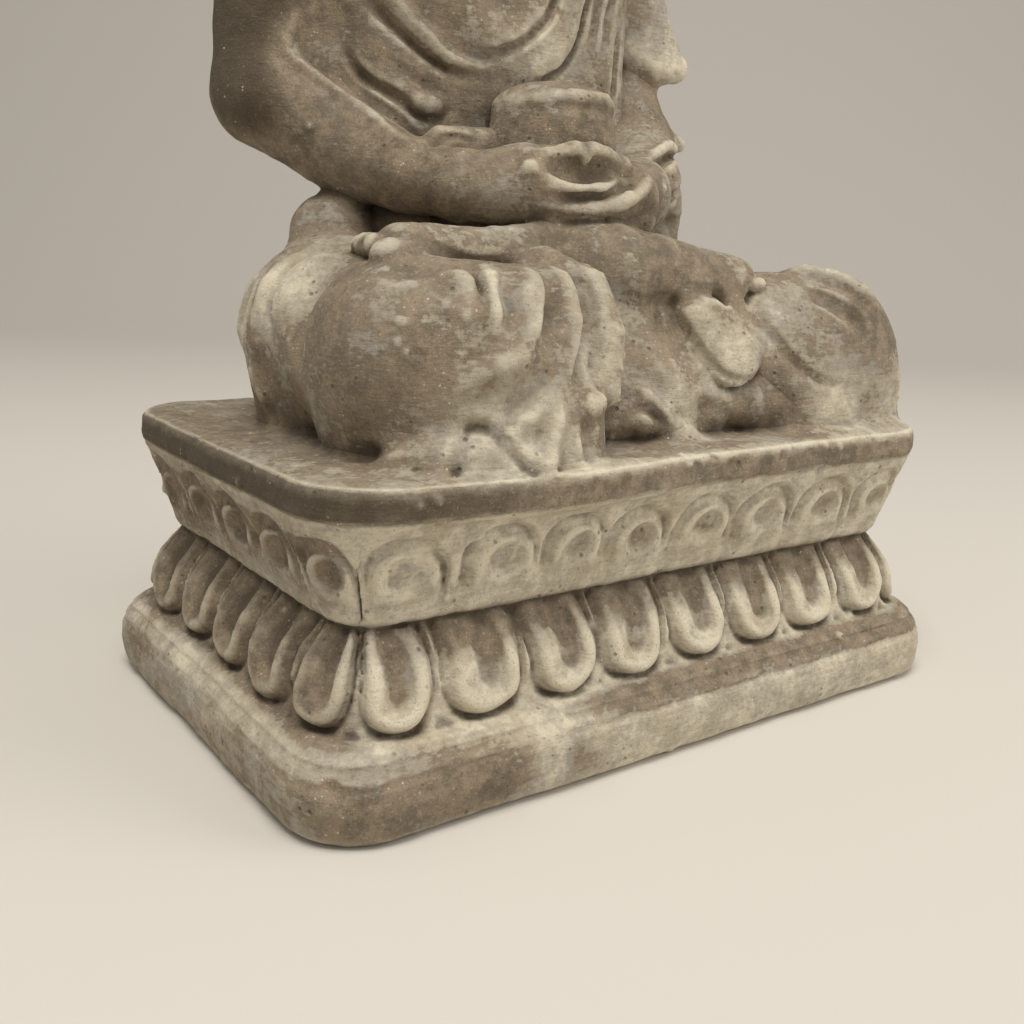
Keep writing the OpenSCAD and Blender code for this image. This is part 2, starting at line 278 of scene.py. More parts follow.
class Clay:
    """A casting on a grid. body is its signed distance. near is the distance to the closest
    piece, owner is that piece's number, and second is the distance to the next one."""

    def __init__(self, low, high, cell):
        self.low = np.array(low, float)
        self.cell = cell
        self.shape = tuple(int(math.ceil(s / cell)) + 1 for s in np.array(high) - self.low)
        self.axes = [lo + cell * np.arange(n) for lo, n in zip(self.low, self.shape)]
        self.body = np.full(self.shape, FAR, np.float32)
        self.near = np.full(self.shape, FAR, np.float32)
        self.second = np.full(self.shape, FAR, np.float32)
        self.owner = np.zeros(self.shape, np.uint8)
        self.names = [None]
        self.parts = {}
        self.open = None

    def region(self, low, high, inside=None):
        """The part of the grid that a box and its reach take up, kept inside a region."""
        region = []
        for k in range(3):
            start = int((low[k] - REACH - self.low[k]) / self.cell)
            stop = int((high[k] + REACH - self.low[k]) / self.cell) + 2
            least, most = 0, self.shape[k]
            if inside is not None:
                least, most = inside[k].start, inside[k].stop
            start = min(max(start, least), most - 1)
            region.append(slice(start, min(max(stop, start + 1), most)))
        return tuple(region)

    def open_grid(self, region):
        x, y, z = (axis[r].astype(np.float32) for axis, r in zip(self.axes, region))
        return x[:, None, None], y[None, :, None], z[None, None, :]

    def distance(self, shape):
        region = self.region(shape.low, shape.high)
        out = np.full(tuple(r.stop - r.start for r in region), FAR, np.float32)
        shape.fill(self, region, out)
        return region, out

    @contextmanager
    def piece(self, name):
        """What is added or claimed inside the with block belongs to the node of this name."""
        self.names.append(name)
        self.open = []
        yield
        shapes, self.open = self.open, None
        low = np.min([s.low for s, _ in shapes], axis=0)
        high = np.max([s.high for s, _ in shapes], axis=0)
        region = self.region(low, high)
        own = np.full(tuple(r.stop - r.start for r in region), FAR, np.float32)
        for shape, (part, d) in shapes:
            cut = within(part, region)
            own[cut] = np.minimum(own[cut], d)
        near, second = self.near[region], self.second[region]
        closer = own < near
        np.copyto(second, np.where(closer, near, np.minimum(second, own)))
        np.copyto(near, np.where(closer, own, near))
        owner = self.owner[region]
        owner[closer] = len(self.names) - 1
        self.parts[name] = (len(self.names) - 1, region, own)

    def add(self, shape, k=1.5):
        """Joins a shape to the casting with a fillet of about k, as part of the open piece."""
        region, d = self.claim(shape)
        self.body[region] = smooth_min(self.body[region], d, k)

    def join(self, shape, k=1.5):
        """Joins a shape to the casting without giving it to a piece."""
        region, d = self.distance(shape)
        self.body[region] = smooth_min(self.body[region], d, k)

    def claim(self, shape):
        """Gives the space of a shape to the open piece."""
        found = self.distance(shape)
        self.open.append((shape, found))
        return found

    def cut(self, shape, k=0.6):
        """Carves a shape out of the casting."""
        region, d = self.distance(shape)
        self.body[region] = -smooth_min(-self.body[region], d, k)

    def slope(self, points):
        """Outward direction of the surface at places near it."""
        step = self.cell
        way = np.zeros_like(points)
        for k in range(3):
            shift = np.zeros(3)
            shift[k] = step
            way[:, k] = self.value(self.body, points + shift)
            way[:, k] -= self.value(self.body, points - shift)
        return way / np.maximum(np.linalg.norm(way, axis=1, keepdims=True), 1e-6)

    def settle(self, marks):
        """A smooth path through marks [x, y, height], drawn onto the surface, with the
        surface's outward direction along it."""
        path = smooth_path([place(m) for m in marks], 1.2)
        for _ in range(8):
            away = np.clip(self.value(self.body, path), -2, 2)
            path = path - away[:, None] * self.slope(path)
        return path, self.slope(path)

    def stroke(self, marks, width, height, fade, side):
        """A tube that stands out of the surface by this width and height, or dips into it
        where side is -1. fade gives how much of the height is left at each end."""
        path, way = self.settle(marks)
        t = np.linspace(0, 1, len(path))
        swell = np.interp(t, [0, 0.3, 0.7, 1], [fade[0], 1, 1, fade[1]])
        radius = (width * width / 4 + height * height) / (2 * height)
        lift = side * (height * (1.5 * swell - 0.5) - radius)
        return Tube(path + way * lift[:, None], np.full(len(path), radius))

    def ridge(self, marks, width, height, k=0.8, fade=(0, 0)):
        self.join(self.stroke(marks, width, height, fade, 1), k)

    def groove(self, marks, width, depth, k=0.5, fade=(0, 0)):
        self.cut(self.stroke(marks, width, depth, fade, -1), k)

    def value(self, array, points, cells=1):
        """Trilinear reading, at places in millimetres, of an array that has one entry for
        every so many cells of this clay's grid."""
        u = (np.asarray(points) - self.low) / (self.cell * cells)
        u = np.clip(u, 0, np.array(array.shape) - 1.001)
        base = u.astype(int)
        t = u - base
        total = 0.0
        for corner in range(8):
            step = np.array([corner >> 2 & 1, corner >> 1 & 1, corner & 1])
            weight = np.prod(np.where(step, t, 1 - t), axis=1)
            i, j, k = (base + step).T
            total = total + weight * array[i, j, k]
        return total

    def roughen(self):
        """Gives the surface the gentle unevenness of a hand-finished casting."""
        for pitch, height, seed in ((22, 0.3, 0), (9.0, 0.2, 1), (3.2, 0.15, 2), (1.3, 0.09, 3)):
            if pitch > 1.5 * self.cell:
                self.body += height * noise(self.axes, pitch, SEED + seed)

    def stand(self):
        """Cuts the underside flat at z = 0."""
        self.body = np.maximum(self.body, -self.axes[2].astype(np.float32))

    def weather(self, seed, count, low, high, sizes, crumbs=0.3):
        """Seeded pits and crumbs on the surface inside a box in the CAD frame."""
        hand = np.random.RandomState(SEED + seed)
        places = hand.uniform(low, high, (count * 6, 3))
        away = self.value(self.body, places)
        places = places[np.abs(away) < 2.5][:count]
        for _ in range(6):
            away = np.clip(self.value(self.body, places), -2, 2)
            places = places - away[:, None] * self.slope(places)
        for point, way in zip(places, self.slope(places)):
            radius = hand.uniform(*sizes)
            if hand.uniform() < crumbs:
                self.join(Tube([point - way * radius * 0.3], [radius]), 0.5)
            else:
                self.cut(Tube([point + way * radius * 0.55], [radius]), 0.4)

    def survey(self, contrast=1.0):
        """Works out, near every point, how much of the space round it is solid: fine over
        0.9 mm, and broad over 3.2 mm on every second cell."""
        solid = np.clip(0.5 - self.body / self.cell, 0, 1)
        self.fine = 0.5 + contrast * (blur(solid, 0.9 / self.cell) - 0.5)
        half = solid[::2, ::2, ::2]
        self.broad = blur(half, 3.2 / self.cell / 2)

    def solidity(self, points):
        return self.value(self.fine, points), self.value(self.broad, points, 2)

    def mesh(self, name):
        """The piece's own part of the casting as a closed mesh, in millimetres."""
        index, region, own = self.parts[name]
        other = np.where(self.owner[region] == index, self.second[region], self.near[region])
        apart = (own - other) / 2
        field = self.body[region] + SINK * np.maximum(apart, 0)
        field = np.maximum(field, apart - OVERLAP)
        field = np.clip(field / self.cell, -3, 3)
        field = np.pad(field, 1, constant_values=3.0)
        grid = openvdb.FloatGrid(3.0)
        grid.copyFromArray(field)
        points, quads = grid.convertToQuads(isovalue=0.0)
        origin = np.array([axis[r.start] for axis, r in zip(self.axes, region)])
        return origin + (points - 1) * self.cell, quads


# ---- Pedestal ----

PETALS = 28
PETAL_OUTLINE = (HALF_W - 3, HALF_D - 3, CORNER_R - 1)
FIRST_PETAL = -5.7           # where the ring of petals starts, from the front left corner


def ring_length():
    hx, hy, r = PETAL_OUTLINE
    return 4 * (hx + hy - 2 * r) + 2 * math.pi * r


def ring_place(x, y):
    """Distance round the pedestal of each column (x, y): 0 at the middle of the front left
    corner, growing along the front towards +X."""
    hx, hy, r = PETAL_OUTLINE
    long_run, short_run, arc = 2 * (hx - r), 2 * (hy - r), math.pi * r / 2
    back = np.where(y > 0, 1.0, 0.0)
    qx, qy = np.abs(x) - (hx - r), np.abs(y) - (hy - r)
    # measure in the front half, as if the back were turned round to the front
    fx = np.where(y > 0, -x, x)
    fy = -np.abs(y)
    on_front = arc / 2 + long_run / 2 + fx
    right = arc * 1.5 + long_run + (fy + (hy - r))
    left = -arc / 2 - (fy + (hy - r))
    angle = np.arctan2(np.maximum(qx, 0), np.maximum(qy, 1e-6)) * r
    turn = np.where(fx > 0, arc / 2 + long_run + angle, arc / 2 - angle)
    s = np.where(qy > qx, on_front, np.where(fx > 0, right, left))
    s = np.where((qx > 0) & (qy > 0), turn, s)
    return s + back * ring_length() / 2


def petal_places(slips):
    """The middles of the petals: even, but for the slips of a hand-set row, [(s, mm), ...]."""
    even = FIRST_PETAL + ring_length() / PETALS * np.arange(PETALS)
    return even + sum(much * bump(even, where, 16) for where, much in slips)


def step_up(value, low, high):
    t = np.clip((value - low) / (high - low), 0, 1)
    return t * t * (3 - 2 * t)


def bump(value, middle, width):
    return np.exp(-((value - middle) / width) ** 2)


class PetalRow:
    """The carved relief of one tier. grow is 1 where the round ends point down."""

    def __init__(self, tier, end_z, grow, slips):
        self.tier, self.end_z, self.grow = tier, end_z, grow
        self.places = petal_places(slips)
        nearer = np.roll(self.places, -1) - np.roll(self.places, 1)
        gap = np.where(nearer < 0, nearer + ring_length(), nearer) / 2
        self.reach = np.minimum(0.41 * gap, 5.4) if grow > 0 else np.minimum(0.485 * gap, 6.6)
        hand = np.random.RandomState(SEED + len(tier) + int(end_z))
        self.vary = hand.uniform(-1, 1, (PETALS, 6))

    def local(self, x, y):
        """Nearest petal's number and the distance from its middle, for each column."""
        s = ring_place(x, y)
        gap = s[..., None] - self.places
        gap = (gap + ring_length() / 2) % ring_length() - ring_length() / 2
        k = np.abs(gap).argmin(-1)
        return k, np.take_along_axis(gap, k[..., None], -1)[..., 0]

    def inset(self, x, y, z):
        """How far inside its petal's outline each point lies, its place on the petal (across
        u, along v from the round end) and the petal's half width."""
        k, u = self.local(x, y)
        vary = self.vary[k]
        v = self.grow * (z - self.end_z) - 0.4 * vary[..., 1]
        a = self.reach[k] * (1 + 0.03 * vary[..., 0])
        u = u + 0.25 * np.sin(0.5 * v + 3 * vary[..., 2])
        wobble = 0.14 * np.sin(0.8 * u + 0.6 * v + 3 * vary[..., 3])
        lean = u - 0.05 * v if self.tier == "upper" else u + 0.03 * v
        flat = 0.86
        end = np.minimum(v - a * flat, 0.0) / flat
        return a - np.hypot(lean, end) + wobble, lean, v, a

    def lobe(self, u, v, a):
        """How far inside the worn middle of its petal each point lies."""
        if self.tier == "lower":
            across = (u - 0.6) / 0.44
            along = np.maximum(1.05 * a - v, 0) / 0.56 + np.maximum(v - 8.5, 0) * 1.2
            return 1 - np.hypot(across, along) / a
        across = (u - 0.8 + 0.3 * (v - 4.8)) / 0.56
        along = (v - 4.8) / 0.46
        return 1 - np.hypot(across, along) / a

    def __call__(self, x, y, z):
        e, u, v, a = self.inset(x, y, z)
        lobe = self.lobe(u, v, a)
        if self.tier == "lower":
            rise = 1.3 * step_up(e, -0.7, 1.2) - 0.3 * bump(e, -0.6, 0.5)
            crest = 0.5 * bump(e, 1.8, 1.2)
            spoon = 1.0 * step_up(lobe, -0.1, 0.5) - 0.3 * step_up(lobe, 0.4, 1.0)
            ledge = 0.7 * bump(e, -1.8, 0.6) * step_up(-v, -1.6, 0.2)
            leaf = 0.8 * step_up(-e, 0.6, 1.1) * step_up(v, 2.0, 5.0)
            fade = 1 - 0.3 * step_up(v, 6.0, 12.0)
            return (rise + crest - spoon) * fade + ledge + leaf
        inner = a - 1.5 - np.hypot(u - 0.2, np.minimum(v - 0.86 * a - 0.1, 0) / 0.72)
        band = 0.65 * step_up(e, -0.5, 0.5) + 0.25 * bump(e, 0.3, 0.45)
        ring = 0.8 * step_up(inner, -0.7, 0.6) + 0.1 * bump(inner, 0.8, 0.8)
        spoon = 0.95 * step_up(lobe, -0.1, 0.5) - 0.25 * step_up(lobe, 0.4, 1.0)
        fade = 1 - 0.8 * step_up(v, 5.5, 10.0)
        return 0.8 + (ring - band - spoon) * fade


LOWER_PETALS = PetalRow("lower", LOWER_Z + 0.9, 1, [(0, 0.6), (24, 1.0), (86, -1.2)])
UPPER_PETALS = PetalRow("upper", SLAB_Z - 1.4, -1, [(20, 3.2), (100, 1.5), (-40, -1.5)])

PETAL_RUNS = {
    "front": range(1, 9), "left": range(10, 14), "back": range(15, 23),
    "right": range(24, 28), "corners": (0, 9, 14, 23),
}


class PetalGroup(Moulding):
    """The petals of one tier that belong to one node."""

    def __init__(self, row, core, members):
        super().__init__(core, relief=row, depth=1.6)
        self.row = row
        self.members = list(members)

    def fill(self, clay, region, out):
        x, y, z = clay.open_grid(region)
        k, u = self.row.local(x, y)
        half_pitch = ring_length() / PETALS / 2 + 1.2
        edge = np.where(np.isin(k, self.members), np.abs(u) - half_pitch, FAR)
        own = np.full_like(out, FAR)
        super().fill(clay, region, own)
        own = np.maximum(own, np.maximum(edge, -self.row.inset(x, y, z)[0]))
        np.minimum(out, own, out=out)


def seat_bow(x, y, z):
    """The seat's front edge, which bows out a little left of its middle."""
    bow = 1.9 * np.exp(-((x + 24) / 20) ** 2) * step_up(-y, 20, 30)
    return bow + 0 * z


PLINTH_PROFILE = [
    (0.0, 2.2), (0.4, 1.3), (1.2, 0.6), (2.6, 0.2), (5.0, 0.0), (7.4, 0.3), (7.9, 0.75), (8.4, 0.7),
    (9.2, 1.2), (9.7, 1.9), (10.1, 1.8), (LOWER_Z, 2.9), (LOWER_Z + 0.6, 4.4),
]
LOWER_CORE = [
    (LOWER_Z - 0.6, 4.0), (LOWER_Z + 0.8, 5.0), (LOWER_Z + 3, 5.2), (LOWER_Z + 6, 5.9),
    (LOWER_Z + 8.5, 7.0), (LOWER_Z + 10.6, 8.6), (WAIST_Z, 10.2),
]
WAIST_PROFILE = [
    (WAIST_Z - 1.0, 9.9), (WAIST_Z, 9.4), (WAIST_Z + 0.5, 9.2), (UPPER_Z, 9.3),
    (UPPER_Z + 0.8, 9.9),
]
UPPER_CORE = [
    (UPPER_Z - 1, 10.4), (UPPER_Z - 0.4, 9.2), (UPPER_Z + 0.4, 8.6), (UPPER_Z + 2, 8.2),
    (UPPER_Z + 5, 7.2), (UPPER_Z + 8, 6.3), (SLAB_Z - 2.5, 5.6), (SLAB_Z - 1.2, 5.2), (SLAB_Z, 4.6),
]
SEAT_PROFILE = [
    (SLAB_Z - 0.5, 5.6), (SLAB_Z, 4.3), (SLAB_Z + 0.6, 3.7), (SLAB_Z + 1.5, 3.4),
    (SEAT_Z - 1.2, 3.5), (SEAT_Z - 0.5, 3.8), (SEAT_Z - 0.15, 4.5), (SEAT_Z, 5.4),
]


def sculpt_pedestal(clay):
    with clay.piece("plinth_slab"):
        clay.add(Moulding(PLINTH_PROFILE, corner=CORNER_R), 0.5)
    with clay.piece("waist_band"):
        clay.add(Moulding(WAIST_PROFILE), 0.6)
    with clay.piece("seat_slab"):
        clay.add(Moulding(SEAT_PROFILE, relief=seat_bow), 0.5)
    for tier, row, core in (("lower", LOWER_PETALS, LOWER_CORE), ("upper", UPPER_PETALS, UPPER_CORE)):
        clay.join(Moulding(core, relief=row), 0.4)
        with clay.piece(tier + "_lotus_core"):
            clay.claim(Moulding([(z, inset + 1.0) for z, inset in core]))
        for side, members in PETAL_RUNS.items():
            with clay.piece(tier + "_petals_" + side):
                clay.claim(PetalGroup(row, core, members))


# ---- Figure ----

def sculpt_legs(clay):
    with clay.piece("right_thigh"):
        clay.add(Limb((-26, 20, 13, 14), (-33, 4, 13, 14)), 2)
        clay.add(Limb((-26, 22, 5, 12), (-34, 4, 5, 11.4)), 3)
    with clay.piece("left_thigh"):
        clay.add(Limb((27, 20, 13, 13.6), (35, 2, 12.6, 12.6)), 2)
        clay.add(Limb((27, 22, 5, 12), (38, 0, 5, 11)), 3)
    with clay.piece("right_knee"):
        clay.add(Limb((-35, -6, 12.4, 12), (-34.6, -18, 11.8, 12.2)), 3)
        clay.add(Limb((-34.6, -18, 11.8, 12.2), (-27, -22, 12.4, 11.8), (-18, -19, 13, 10.6)), 3)
        clay.add(Limb((-36.6, -16, 6, 9.4), (-33, -21, 5, 10), (-25, -24, 4, 9.6)), 3)
        clay.add(Limb((-28, -27, 3, 7.6), (-20, -27, 4, 8)), 3)
    with clay.piece("left_knee"):
        clay.add(Limb((38, -8, 12, 11.4), (42.4, -19.4, 11.8, 12.2), (29, -17, 12, 11.4)), 3)
        clay.add(Limb((44, -20.4, 4, 10.8), (32, -20, 5, 9.6)), 6)
    with clay.piece("lap_robe"):
        clay.add(Limb((-8, -10, 12, 12), (14, -12, 11, 11)), 2)
        clay.add(Limb((-4, -17, 6, 8), (12, -18, 6, 8)), 4)
        clay.add(Limb((0, 4, 17, 11), (3, -10, 14, 9)), 2)
        clay.add(Limb((9, -15, 19, 5), (17, -17.6, 10, 6.4), (24, -20, 8, 6)), 4)


def sculpt_feet(clay):
    with clay.piece("right_foot"):
        clay.add(Limb((-6, -12, 23, 6.4), (1, -15, 23, 6.8), (8, -16.6, 22.8, 5.4),
                      (16, -18, 22.8, 3.8), (22.6, -18.6, 22.8, 2.9)), 1.6)
    with clay.piece("right_toes"):
        for k in range(5):
            clay.add(Limb((22 - k * 0.2, -14.8 - k * 1.6, 23.2 - k * 0.3, 1.2),
                          (26.4 - k * 0.5, -15.4 - k * 1.6, 22.8 - k * 0.3, 1.7 - k * 0.1)), 0.4)
    with clay.piece("left_foot"):
        clay.add(Limb((-4, -9, 26.6, 3.6), (-12, -11.6, 25.6, 3.6), (-21, -13, 24.4, 3.6),
                      (-29, -13.6, 25, 3.8), (-34, -14, 25, 3.7)), 1.2)
        clay.add(Limb((-14, -8, 24.6, 3.8), (-30, -8.6, 24.6, 3.6)), 2)
    with clay.piece("left_toes"):
        clay.add(Limb((-34, -16.4, 24.2, 2.5), (-37.8, -17.4, 24.2, 2.5)), 0.5)
        for k in range(1, 5):
            clay.add(Limb((-34 + k * 0.4, -15.6 + k * 2.2, 25.4, 1.4),
                          (-37.8 + k * 0.5, -15.8 + k * 2.3, 25.5, 1.9 - k * 0.1)), 0.4)


CLOTH_SLOPE = (-0.13, -0.9, 0.33, 0.46)      # the way the flaps face, and how flat they are


def sculpt_robe_edges(clay):
    with clay.piece("front_hem"):
        clay.add(Limb((-5, -22.6, 2.4, 3), (-1.4, -23.6, 3.4, 3.6), (3, -23, 2.4, 3)), 1)
        clay.add(Limb((10, -23, 2.2, 3), (13, -23.6, 2.8, 3.2)), 0.8)
        clay.add(Limb((16, -22.6, 4.2, 4), (21, -23.6, 4.4, 4.6), (26, -24.4, 3.4, 4.2)), 1.2)
    with clay.piece("right_knee_hem"):
        clay.add(Limb((-41, -27, 0.6, 3), (-35, -31, 0.8, 3.4), (-29, -32.6, 0.8, 3.4),
                      (-22, -32.4, 1.4, 3.6), (-16, -29.4, 1.6, 3)), 1.6)
    with clay.piece("left_knee_hem"):
        clay.add(Limb((30, -28.6, 4.6, 3.4), (36.4, -29.8, 4.2, 3.6), flat=CLOTH_SLOPE), 0.8)
        clay.add(Limb((47, -26, 1.6, 2.6), (51.6, -22.6, 1.4, 2.6)), 1.6)
    with clay.piece("knee_hem_strip"):
        clay.add(Limb((-13.6, -17, 24, 2.2), (-10.6, -23, 21, 2.8), (-11, -27, 15, 3.2),
                      (-12.4, -28.6, 8.6, 3.2)), 0.9)
        clay.add(Limb((-15, -15.4, 22.6, 3.6), (-12, -12, 21, 4)), 2)
    with clay.piece("hanging_flap"):
        clay.add(Limb((10.4, -20.8, 21.8, 3.4), (12, -22.8, 17.6, 4.2), (14.4, -24, 14, 5.2),
                      (16, -25, 12.4, 5.7), flat=CLOTH_SLOPE), 0.5)
        clay.add(Limb((8, -18, 21.6, 3.4), (12.6, -18.8, 21.4, 3.6), (17, -19.2, 20.8, 3.4)), 1.2)
    with clay.piece("side_flap"):
        clay.add(Limb((16.6, -21.6, 20.4, 2.8), (20, -23.8, 15, 2.9), (23.4, -25.8, 11, 3),
                      (28, -28, 7.6, 3.2), flat=CLOTH_SLOPE), 1)


def sculpt_body(clay):
    with clay.piece("torso"):
        clay.add(Limb((0, 22, 8, 25), (0, 22, 34, 23), (0, 22, 66, 28), flat=(0, 1, 0, 0.5)), 2)
        clay.add(Ball((0, 15, 34), (19, 7, 16)), 4)
        clay.add(Limb((-28, 22, 46, 6), (-28.6, 22, 64, 6.6)), 3)
    with clay.piece("chest"):
        clay.add(Limb((0, 22.4, 68, 28.6), (0, 22.6, 75, 27.6), flat=(0, 1, 0, 0.43)), 3)
        clay.add(Limb((-26, 23, 84.5, 9), (25, 23, 84.5, 9)), 6)
        clay.add(Limb((-17, 22.5, 88, 8), (0, 21.6, 93.6, 8.6), (17, 22.5, 88, 8)), 6)
        clay.add(Ball((-11, 14, 72), (11, 5.4, 9)), 4)
        clay.add(Ball((10, 14, 72), (11, 5.4, 9)), 4)
    with clay.piece("back_robe"):
        clay.add(Limb((0, 26, 8, 27), (0, 26, 40, 24), (0, 26, 68, 28), flat=(0, 1, 0, 0.28)), 3)
    with clay.piece("chest_robe"):
        clay.add(Limb((-18, 17, 34, 7), (-22, 17, 62, 7)), 4)
        clay.add(Limb((0, 15.6, 42, 22), (0, 15, 60, 23), flat=(0, 1, 0, 0.28)), 3)
    with clay.piece("neckline_fold"):
        clay.add(Limb((-14, 12, 62, 3), (-5, 10.4, 56.6, 3), (5, 10.8, 60, 3)), 3)
    with clay.piece("shoulder_drape"):
        clay.add(Limb((23, 21, 88.6, 9), (17, 17, 72, 7.6), (19, 17, 42, 7)), 4)
    with clay.piece("right_hip_drape"):
        clay.add(Limb((-29, 15, 26.6, 6.6), (-22, 22, 28, 7), (-18, 8, 25, 6)), 2)
    with clay.piece("left_hip_drape"):
        clay.add(Limb((32, 14, 26, 7), (22, 22, 28, 7), (19, 6, 24, 6)), 2)
        clay.add(Limb((27, 18, 30, 7), (27, 18, 40, 5.6)), 3)
    with clay.piece("robe_end_fold"):
        clay.add(Limb((-16.6, 5, 40.4, 2.6), (-10, 3, 40, 3)), 1)


def sculpt_arms(clay):
    with clay.piece("right_upper_arm"):
        clay.add(Limb((-30.6, 23.4, 84.4, 9.4), (-35.2, 24, 64, 7.4), (-36.2, 23.6, 47, 7.4)), 2)
    with clay.piece("right_forearm"):
        clay.add(Limb((-36.2, 23, 46.6, 7.4), (-29, 16.6, 40.8, 7), (-22.6, 6.4, 36, 5.8),
                      (-17.6, -1.6, 34, 4.8)), 2)
    with clay.piece("right_hand"):
        clay.add(Limb((-17, -3, 34, 5), (-10, -7.4, 34.4, 6), (-1, -8.4, 34.6, 5.6)), 2)
    with clay.piece("right_fingers"):
        clay.add(Limb((-9, -11.4, 33.4, 2.8), (2, -13, 33, 2.8), (9, -10.4, 33.8, 2.8)), 1.4)
    with clay.piece("right_thumb"):
        clay.add(Limb((-11, -9.4, 37.6, 2), (-5, -12, 39, 1.6)), 1)
    with clay.piece("left_sleeve"):
        clay.add(Limb((28.4, 23.4, 84.4, 9.6), (29, 22.6, 68, 8.4), (31, 20.6, 59, 7.4)), 2)
        clay.add(Limb((31, 19, 68, 6), (35.4, 16, 60, 4), (38.6, 14.4, 58.4, 2)), 2)
        clay.add(Limb((27, 14.6, 59, 2), (31, 12.8, 56.6, 2.2), (37.4, 13.8, 57.4, 2)), 1.4)
    with clay.piece("left_cuff"):
        clay.add(Limb((29.4, 19.6, 54, 6.4), (29, 14, 44, 6.6), (22, 4, 36.6, 7)), 2)
        clay.add(Limb((31, 14, 46.6, 4), (36, 14, 45.4, 2.6), (40.4, 14.4, 45.2, 1.2)), 2)
        clay.add(Limb((31, 10, 37, 5), (34.6, 12, 33, 4)), 3)
    with clay.piece("left_hand"):
        clay.add(Limb((16, -2, 34.6, 6), (8, -7, 33.4, 5.6)), 2)
    with clay.piece("left_fingers"):
        clay.add(Limb((10, -9.6, 30.6, 2.6), (0, -12, 30.2, 2.6), (-8, -10.6, 30.8, 2.4)), 1.4)
    with clay.piece("left_thumb"):
        clay.add(Limb((5, -10, 37.8, 2), (-2.4, -12.4, 39, 1.7)), 1)
    with clay.piece("alms_bowl"):
        clay.add(Limb((0, 0, 40, 9.8), (0, 0, 46, 9.2), flat=(0, 0, 1, 0.45)), 0.6)


def carve_right_knee(clay):
    # folds wrapping the thigh, seen from outside the knee
    clay.ridge([(-38.5, -7, 24), (-42.5, -4, 22), (-45.5, -4, 18.5), (-46.5, -6, 14)], 5, 1.3, 1.2)
    clay.groove([(-40, -2, 24), (-44, 0, 21), (-46, -1, 17), (-47, -3, 12)], 2.6, 1.0)
    clay.ridge([(-41, 2, 24), (-45, 2, 20), (-47, 1.5, 15), (-47, 1, 10)], 4.4, 1.3, 1.2)
    clay.groove([(-40, 8, 24), (-45, 8, 18), (-46, 8, 10)], 3, 1.0)
    clay.ridge([(-40, 13, 22), (-43, 13, 16), (-44, 13, 9)], 4, 1.0, 1.2)
    clay.ridge([(-47, 4, 11), (-46, 3, 6), (-45, 0, 4)], 2, 1.0, 1.2)
    clay.groove([(-39, -10, 24), (-43.5, -9.5, 20), (-46.5, -10.5, 15), (-46.5, -11.5, 7)], 4, 1.1)
    # hollow under the toes
    clay.groove([(-40.5, -22.6, 22.4), (-38, -23.2, 23), (-35.2, -23.2, 23.6)], 4, 1.1, 1)
    # folds running down from the foot
    clay.ridge([(-33, -25, 23), (-34, -29, 20), (-35.5, -31, 16)], 4.4, 1.1, 1.2)
    clay.groove([(-30.5, -25, 23.5), (-31.5, -29, 20.5), (-33, -31.5, 17)], 2.2, 1.1)
    clay.ridge([(-29.5, -24, 24), (-30.5, -28.5, 21.5), (-31, -31.5, 18), (-31.5, -33, 14)], 2.8, 1.2, 1.4)
    clay.groove([(-28, -28, 22), (-29.5, -32, 17.5), (-31, -33, 13.5)], 3.6, 1.1, 1)
    clay.ridge([(-21, -22, 24), (-26, -31, 19.5), (-28.5, -33, 16), (-31, -33, 12), (-34, -32, 10)],
               4, 1.2, 1.6)
    clay.groove([(-20, -27, 21.5), (-23, -31.5, 18), (-27, -33.5, 14)], 3.6, 1.5, 1.2)
    clay.ridge([(-14, -18, 25), (-17, -26, 21.5), (-19, -30.5, 17), (-21, -32.5, 12),
                (-25, -34, 9)], 3.6, 1.6, 1.6)
    clay.groove([(-12.5, -22, 22.5), (-15.5, -29, 16.5), (-18.5, -32, 12), (-21, -34, 8)],
                3, 1.7, 1.2)
    clay.groove([(-22, -33, 11.5), (-27.5, -34, 8.5), (-31.5, -33.5, 6), (-34, -32, 5)], 3.4, 0.7, 1.2)
    clay.ridge([(-23, -34, 9.5), (-28, -34.5, 6.5), (-32, -34, 4.5)], 2.6, 1.0, 1.2)
    clay.ridge([(-37, -31, 7), (-36, -31.5, 10), (-32.5, -33, 12), (-28, -34, 14)], 2.4, 0.8, 1.2)
    # the hem, with a lifted fold
    clay.groove([(-38.5, -34, 0), (-37, -33, 3.2), (-35, -32, 5.2), (-33, -33, 5.2),
                 (-31.5, -35, 3), (-29, -37, 0)], 1.8, 0.55, 0.8, fade=(1, 1))
    clay.ridge([(-39.6, -34, 0), (-38, -33, 3.6), (-35.4, -32, 6.2), (-32.6, -33, 6.2),
                (-30.6, -35, 3.4), (-28, -37, 0.4)], 1.6, 0.4, 0.8, fade=(0.6, 0.6))
    clay.ridge([(-23.5, -34, 8), (-25, -35.5, 4.5), (-26.5, -37, 1)], 3, 1.1, fade=(0, 1))
    clay.groove([(-20, -34, 8), (-19.5, -34.5, 4.5), (-20, -35, 1)], 2.4, 0.8, 1, fade=(0, 0.6))
    clay.groove([(-44, -21, 1), (-43.5, -26, 2), (-41, -29, 3.5)], 1.6, 0.64, 1.2)
    clay.ridge([(-21, -34.5, 7), (-18.5, -34, 7), (-14, -31.5, 7)], 2.6, 0.9, 1.2)


